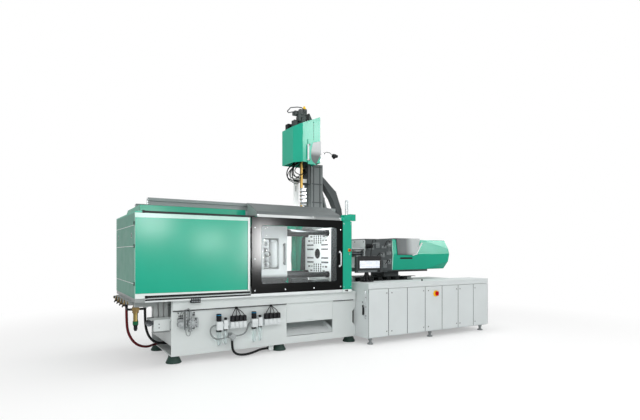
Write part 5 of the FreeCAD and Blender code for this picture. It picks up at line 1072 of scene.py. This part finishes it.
piece("tower_strips", [slab((x - 9, x + 9), (15, 20), (1850, 2790)) for x in (-60, 60)]
      + [slab((-90, 95), (14, 20), (z, z + 16)) for z in (1880, 2180, 2480, 2760)],
      duct_paint, 1.0)
piece("duct_ribs", [drawn("Y", [(x, z), (x + 6, z - 2), (x + 4, z - 20), (x - 2, z - 18)], (56, 60))
                    for x, z in zip(np.linspace(398, 508, 11), np.linspace(2405, 2113, 11))],
      black_plastic, 0.5)


# ------------------------------------------------------------------ vertical injection unit
# Slide, barrel, drive and cover of the vertical unit. The barrel is warm coloured from its heat,
# the nozzle runs in a bright sleeve of coiled strip, and a bow of tube guards the motor on top.
eased("vertical_carriage", shadow_paint, 2.0)
eased("vertical_screw", chromed, 0.6)
vertical_green = glossed("vertical_green_paint", (44, 178, 148))
eased("vertical_cover", vertical_green, 3.0)
# The dark cover's grey runs from dark at its foot to light at its top: painted shade and reflection.
cap_grey = light_and_shade_ramp("cap_painted_light_plastic", (88, 93, 94), (182, 187, 188), "Z", 2760, 3060, 0.08)
eased("vertical_dark_cover", cap_grey, 2.5)
hot_brass = brushed("hot_barrel_brass", (168, 138, 74), 0.45, (1, 1, 0.08), 0.5)
UPRIGHT = (-300, 0)
SLEEVE = (-266, 0)
barrel_form = [(1990, 9), (1996, 18), (2350, 18), (2352, 20), (2360, 22)]
barrel_form += ribbed(2400, 100, 5, 67, 22, 24) + [(2899, 24)]
piece("vertical_barrel_turned", [turned("Z", UPRIGHT, barrel_form, 48)], hot_brass,
      body="vertical_unit", stands_for=["vertical_barrel"])
turn = np.linspace(0, 3.8 * 2 * math.pi, 190)
climb = 2136 + 58 * turn / (2 * math.pi)
strip = np.empty((len(turn), 6, 3))
for corner, (radius, rise) in enumerate(((52, 0), (56, 0), (58, 4), (55, 34), (52, 36), (50, 32))):
    strip[:, corner] = np.column_stack([SLEEVE[0] + radius * np.cos(turn),
                                        radius * np.sin(turn), climb + rise])
sleeve_steel = brushed("sleeve_bright_steel", (214, 217, 218), 0.22, (1, 1, 0.2))
piece("nozzle_sleeve", [woven(strip)], sleeve_steel, body="vertical_unit")
piece("sleeve_core", [turned("Z", SLEEVE, [(2126, 45), (2126, 51), (2390, 51), (2390, 45)], 48, True)],
      sprayed("sleeve_core_paint", (136, 141, 142)), body="vertical_unit")
piece("sleeve_ends",
      [turned("Z", SLEEVE, [(z, 40), (z, 56), (z + 8, 58), (z + 14, 56), (z + 14, 40)], 48, True)
       for z in (2122, 2384)],
      sleeve_steel, 0.8, "vertical_unit")
piece("sleeve_plate",
      [plate("Y", (-404, -318), (2115, 2540), 8, (58, 66)), slab((-404, -165), (58, 66), (2500, 2560))],
      sprayed("plate_white_paint", (236, 240, 239)), 1.0, "vertical_unit")
piece("sleeve_plate_slot", [plate("Y", (-375, -365), (2350, 2440), 5, (56.5, 58.5))],
      hole_dark, 0.0, "vertical_unit")
loops = ((-352, -70, 2570, 120, 16), (-374, -40, 2520, 90, 16), (-350, 30, 2600, 150, 14),
         (-384, 60, 2545, 110, 18), (-334, -84, 2620, 70, 14), (-378, 5, 2490, 130, 12),
         (-366, 90, 2580, 160, 16), (-340, 120, 2530, 60, 12))
for number, (x, y, low, end, thick) in enumerate(loops, 1):
    wide = 150 - 16 * (number % 4)
    hung("vertical_cable_%d" % number,
         [(x, y, 2900), (x - 4, y, 2790), (x - wide, y - 14, 2740 - 12 * number), (x - wide, y - 6, low),
          (x - 10, y + 10, low - 30), (-262, end * 0.6 + y * 0.4, low + 24), (-206, end, low + 110),
          (-165, end, low + 150)],
         thick, grey_hose if number in (3, 6) else black_rubber, body="vertical_unit")
motor_form = [(3105, 75), (3112, 78), (3150, 78), (3154, 72)] + ribbed(3165, 19, 11, 10, 72, 77)
motor_form += [(3392, 72), (3396, 82), (3440, 82)]
tail = [(3440, 84), (3520, 84), (3530, 80), (3580, 76), (3600, 60), (3606, 30)]
piece("vertical_motor",
      [turned("Z", UPRIGHT, motor_form, 48), turned("Z", UPRIGHT, tail, 8),
       slab((-380, -220), (-80, 80), (3075, 3105)), slab((-221, -165.6), (-60, 80), (3075, 3105)),
       plate("Z", (-372, -318), (-88, -30), 8, (3500, 3632)),
       plate("Z", (-300, -232), (-70, 20), 8, (3560, 3648)),
       plate("Z", (-452, -380), (-70, 30), 8, (3542, 3600)),
       plate("Z", (-403, -360), (-96, -40), 6, (3440, 3600)),
       turned("Y", (-345, 3560), [(-84, 22), (-100, 22), (-104, 16)], 28),
       turned("Y", (-262, 3604), [(-68, 16), (-84, 16), (-86, 12)], 24)],
      sprayed("motor_dark_paint", (78, 82, 82), 0.45), 1.5,
      "vertical_drive", ["vertical_drive"])
piece("motor_cap",
      [turned("Z", (-248, -4), [(3640, 22), (3650, 28), (3682, 27), (3690, 18), (3708, 16), (3712, 9)], 32)],
      yellow_plastic, body="vertical_drive")
piece("motor_side_boxes",
      [drawn("Y", [(-462, 3350), (-408, 3372), (-408, 3455), (-462, 3455)], (-70, 30)),
       drawn("Y", [(-194, 3460), (-194, 3596), (-180, 3590), (-136, 3506), (-124, 3489)], (-60, 50))],
      sprayed("side_box_paint", (70, 74, 74), 0.45), 1.5, "vertical_unit")
guard_bow = bent([(-444, -50, 3560), (-470, -52, 3580), (-556, -54, 3550), (-584, -56, 3566),
                  (-520, -54, 3636), (-400, -52, 3664), (-320, -50, 3668), (-276, -46, 3640),
                  (-280, -40, 3600)], 16)
piece("motor_bow", [pipe(guard_bow, 15)], dark_metal, body="vertical_drive")
piece("cover_top_box", [plate("Z", (-512, -404), (50, 150), 6, (3300, 3412))],
      black_plastic, 1.5, "vertical_unit")
edge = [(-236, 3112), (-262, 3040), (-284, 2950), (-292, 2870), (-282, 2806), (-250, 2766), (-196, 2733)]
piece("cover_front_sheet", [drawn("Y", [(-344, 2733), (-344, 3112)] + edge, (-293, -279.5))],
      vertical_green, 0.6, "vertical_unit")
piece("cover_grip", [plate("Y", (-356, -334), (2800, 3026), 6, (-309, -292)),
                     plate("Y", (-360, -330), (2792, 2808), 5, (-305, -279)),
                     plate("Y", (-360, -330), (3020, 3034), 5, (-305, -279))],
      white_plastic, 1.5, "vertical_unit")
piece("cover_latches", [plate("Y", (-328, -304), (z, z + 30), 4, (-297, -292)) for z in (2786, 3018)],
      dark_metal, 0.8, "vertical_unit")
piece("cover_seam", [slab((-240, -234), (-281.2, -279.5), (3108 + 44 * n, 3138 + 44 * n)) for n in range(7)],
      black_plastic, 0.0, "vertical_unit")
probe = bent([(-40, -262, 2930), (10, -262, 2960), (70, -262, 2956), (126, -262, 2920)], 30)
piece("probe_arm", [pipe(probe, 11)], block_paint, body="vertical_unit")
piece("probe_bracket",
      [pipe(np.array([(-118, -250, 2800), (-84, -256, 2862), (-40, -262, 2940)]), 30),
       turned("X", (-262, 2914), [(118, 16), (126, 30), (150, 34), (176, 32), (200, 24), (214, 22)], 32),
       turned("Z", (150, -262), [(2868, 14), (2876, 18), (2900, 18)], 24)],
      black_plastic, 0.5, "vertical_unit")
piece("probe_plate", [drawn("Y", [(-128, 2798), (-112, 2790), (-52, 2930), (-66, 2938)], (-284, -278))],
      bare_steel, 0.5, "vertical_unit")


# ------------------------------------------------------------------ operator terminal
# Turning terminal on a post: dark die-cast housing, black glass frame with a lit screen of plain
# fields, a row of keys under it and a turning knob. The collar on the post carries it.
terminal_paint = sprayed("terminal_grey_paint", (66, 70, 71), 0.42)
eased("terminal_arm", black_plastic, 1.5)
piece("post_struts", [drawn("Y", [(392, 927), (412, 927), (462, 1072), (446, 1072)], (-712, -690)),
                      drawn("Y", [(528, 927), (548, 927), (492, 1072), (478, 1072)], (-712, -690))],
      black_plastic, 1.5)
eased("terminal", terminal_paint, 2.5)
glass_black = sprayed("terminal_glass_black", (22, 23, 25), 0.18, coat=0.5, peel=0.000004)
piece("screen_frame", [plate("Y", (246, 694), (1114, 1316), 12, (-784, -779))],
      glass_black, 1.0, "terminal")
screen, tree, shader = finish("screen_light", (236, 240, 244), 0.3)
fields = added(tree, "TexBrick",
               {"Color1": (*seen((240, 243, 246)), 1), "Color2": (*seen((218, 226, 234)), 1),
                "Mortar": (*seen((196, 204, 212)), 1), "Scale": 1.0, "Brick Width": 0.092,
                "Row Height": 0.034, "Mortar Size": 0.0016})
upright = added(tree, "Mapping", {"Rotation": (math.radians(-90), 0, 0)})
tree.links.new(added(tree, "TexCoord").outputs["Object"], upright.inputs["Vector"])
tree.links.new(upright.outputs["Vector"], fields.inputs["Vector"])
for socket in ("Base Color", "Emission Color"):
    tree.links.new(fields.outputs["Color"], shader.inputs[socket])
set_sockets(shader, {"Emission Strength": 0.2})
piece("screen", [plate("Y", (278, 662), (1130, 1243), 3, (-785.2, -783.4))],
      screen, 0.0, "terminal")
piece("terminal_keys", [plate("Y", (x, x + 22), (1071, 1093), 4, (-772, -766)) for x in range(262, 610, 30)],
      grey_plastic, 1.0, "terminal")
piece("terminal_knob", [turned("Y", (662, 1083), [(-768, 16), (-786, 15), (-789, 12)], 32)], black_plastic,
      0.6, "terminal")
piece("post_boot",
      [turned("Z", (470, -700), [(927, 34), (931, 36), (944, 30), (950, 24), (958, 21), (958, 20.3)], 32)],
      black_plastic, 0.4)


# ------------------------------------------------------------------ camera, floor and light
# The photograph was taken from the clamp's left, 1.36 m above the floor, with a level lens whose
# frame is shifted up a little. The floor is pale and slightly polished, and fades to white far off.
camera = bpy.data.cameras.new("camera")
camera.lens = 25.65
camera.sensor_width = 36.0
camera.shift_y = 0.0677
camera.clip_end = 200.0
eye = bpy.data.objects.new("camera", camera)
eye.location = from_datum((-3854.0, -6370.0, 1357.0))
eye.rotation_euler = (math.radians(90), 0, -math.radians(31.503))
bpy.context.scene.collection.objects.link(eye)
bpy.context.scene.camera = eye

floor_mesh = bpy.data.meshes.new("floor")
floor_mesh.from_pydata([(-90, -90, 0), (90, -90, 0), (90, 90, 0), (-90, 90, 0)], [], [(0, 1, 2, 3)])
floor = bpy.data.objects.new("floor", floor_mesh)
bpy.context.scene.collection.objects.link(floor)


def rays(tree, kinds):
    """1 on rays of any of the kinds, and 0 on the others: the largest of their values."""
    ray = added(tree, "LightPath")
    value = ray.outputs["Is %s Ray" % kinds[0]]
    for kind in kinds[1:]:
        largest = added(tree, "Math", operation="MAXIMUM")
        tree.links.new(value, largest.inputs[0])
        tree.links.new(ray.outputs["Is %s Ray" % kind], largest.inputs[1])
        value = largest.outputs["Value"]
    return value


def blended(tree, share, first, second, end):
    """The first look and the second, by their share, into the end node."""
    blend = added(tree, "MixShader")
    for value, socket in ((share, "Fac"), (first, 1), (second, 2)):
        tree.links.new(value, blend.inputs[socket])
    tree.links.new(blend.outputs["Shader"], tree.nodes[end].inputs["Surface"])


floor_finish, tree, shader = finish("pale_floor", (250, 250, 250), 0.42)
floor_mesh.materials.append(floor_finish)
reach = added(tree, "VectorMath", operation="LENGTH")
fade = added(tree, "MapRange", {"From Min": 3.0, "From Max": 7.5, "To Min": 0.35, "To Max": 1.0},
             interpolation_type="SMOOTHSTEP")
share = added(tree, "Math", operation="MULTIPLY")
tree.links.new(added(tree, "TexCoord").outputs["Object"], reach.inputs[0])
tree.links.new(reach.outputs["Value"], fade.inputs["Value"])
tree.links.new(rays(tree, ("Camera", "Glossy")), share.inputs[0])
tree.links.new(fade.outputs["Result"], share.inputs[1])
white = added(tree, "Emission", {"Color": (1, 1, 1, 1)})
blended(tree, share.outputs["Value"], shader.outputs["BSDF"], white.outputs["Emission"], "Material Output")

world = bpy.data.worlds.new("surroundings")
bpy.context.scene.world = world
world.use_nodes = True
sky = world.node_tree
plain = sky.nodes["Background"]
set_sockets(plain, {"Color": (1, 1, 1, 1), "Strength": 0.5})
shown = added(sky, "Background", {"Color": (1, 1, 1, 1), "Strength": 1.0})
blended(sky, rays(sky, ("Camera", "Transmission", "Glossy")), plain.outputs["Background"],
        shown.outputs["Background"], "World Output")


def soft_light(name, place, aim, width, height, power, all_round=True):
    """Rectangular lamp at place, in datum millimetres, turned to face aim. Patch lamps show in gloss only."""
    lamp = bpy.data.lights.new(name, "AREA")
    lamp.shape = "RECTANGLE"
    lamp.size = width
    lamp.size_y = height
    lamp.energy = power
    holder = bpy.data.objects.new(name, lamp)
    holder.location = from_datum(place)
    way = np.array(aim, dtype=float) - np.array(place, dtype=float)
    flat = math.hypot(way[0], way[1])
    holder.rotation_euler = (math.atan2(flat, -way[2]), 0, math.atan2(-way[0], way[1]))
    holder.visible_camera = False
    holder.visible_diffuse = all_round
    bpy.context.scene.collection.objects.link(holder)


soft_light("front_softbox", (-4500, -6500, 4200), (-800, 0, 1000), 4.0, 3.0, 175)
soft_light("right_softbox", (4500, -5500, 4500), (500, 0, 1000), 4.0, 3.0, 105)
soft_light("top_softbox", (0, 0, 7000), (0, 0, 0), 6.0, 4.0, 210)
soft_light("mould_area_lamp", (-480, -480, 1790), (0, 0, 1300), 0.6, 0.15, 9)
soft_light("left_patch_lamp", (-1870, -5250, 2030), (-2750, -772, 1700), 0.7, 0.5, 105, False)
soft_light("middle_patch_lamp", (-600, -5250, 1640), (-2000, -772, 1500), 0.6, 0.4, 50, False)
soft_light("guard_patch_lamp", (680, -5250, 1560), (-1380, -800, 1450), 0.36, 0.9, 190, False)
soft_light("tower_patch_lamp", (2780, -5250, 4795), (-200, -280, 3250), 1.0, 0.8, 200, False)
soft_light("housing_patch_lamp", (7137, -5250, 2760), (2200, -300, 1480), 1.6, 0.8, 140, False)
soft_light("housing_top_lamp", (7341, -2142, 4542), (2500, -260, 1540), 1.6, 1.2, 150, False)
bpy.context.scene.view_settings.view_transform = "Standard"
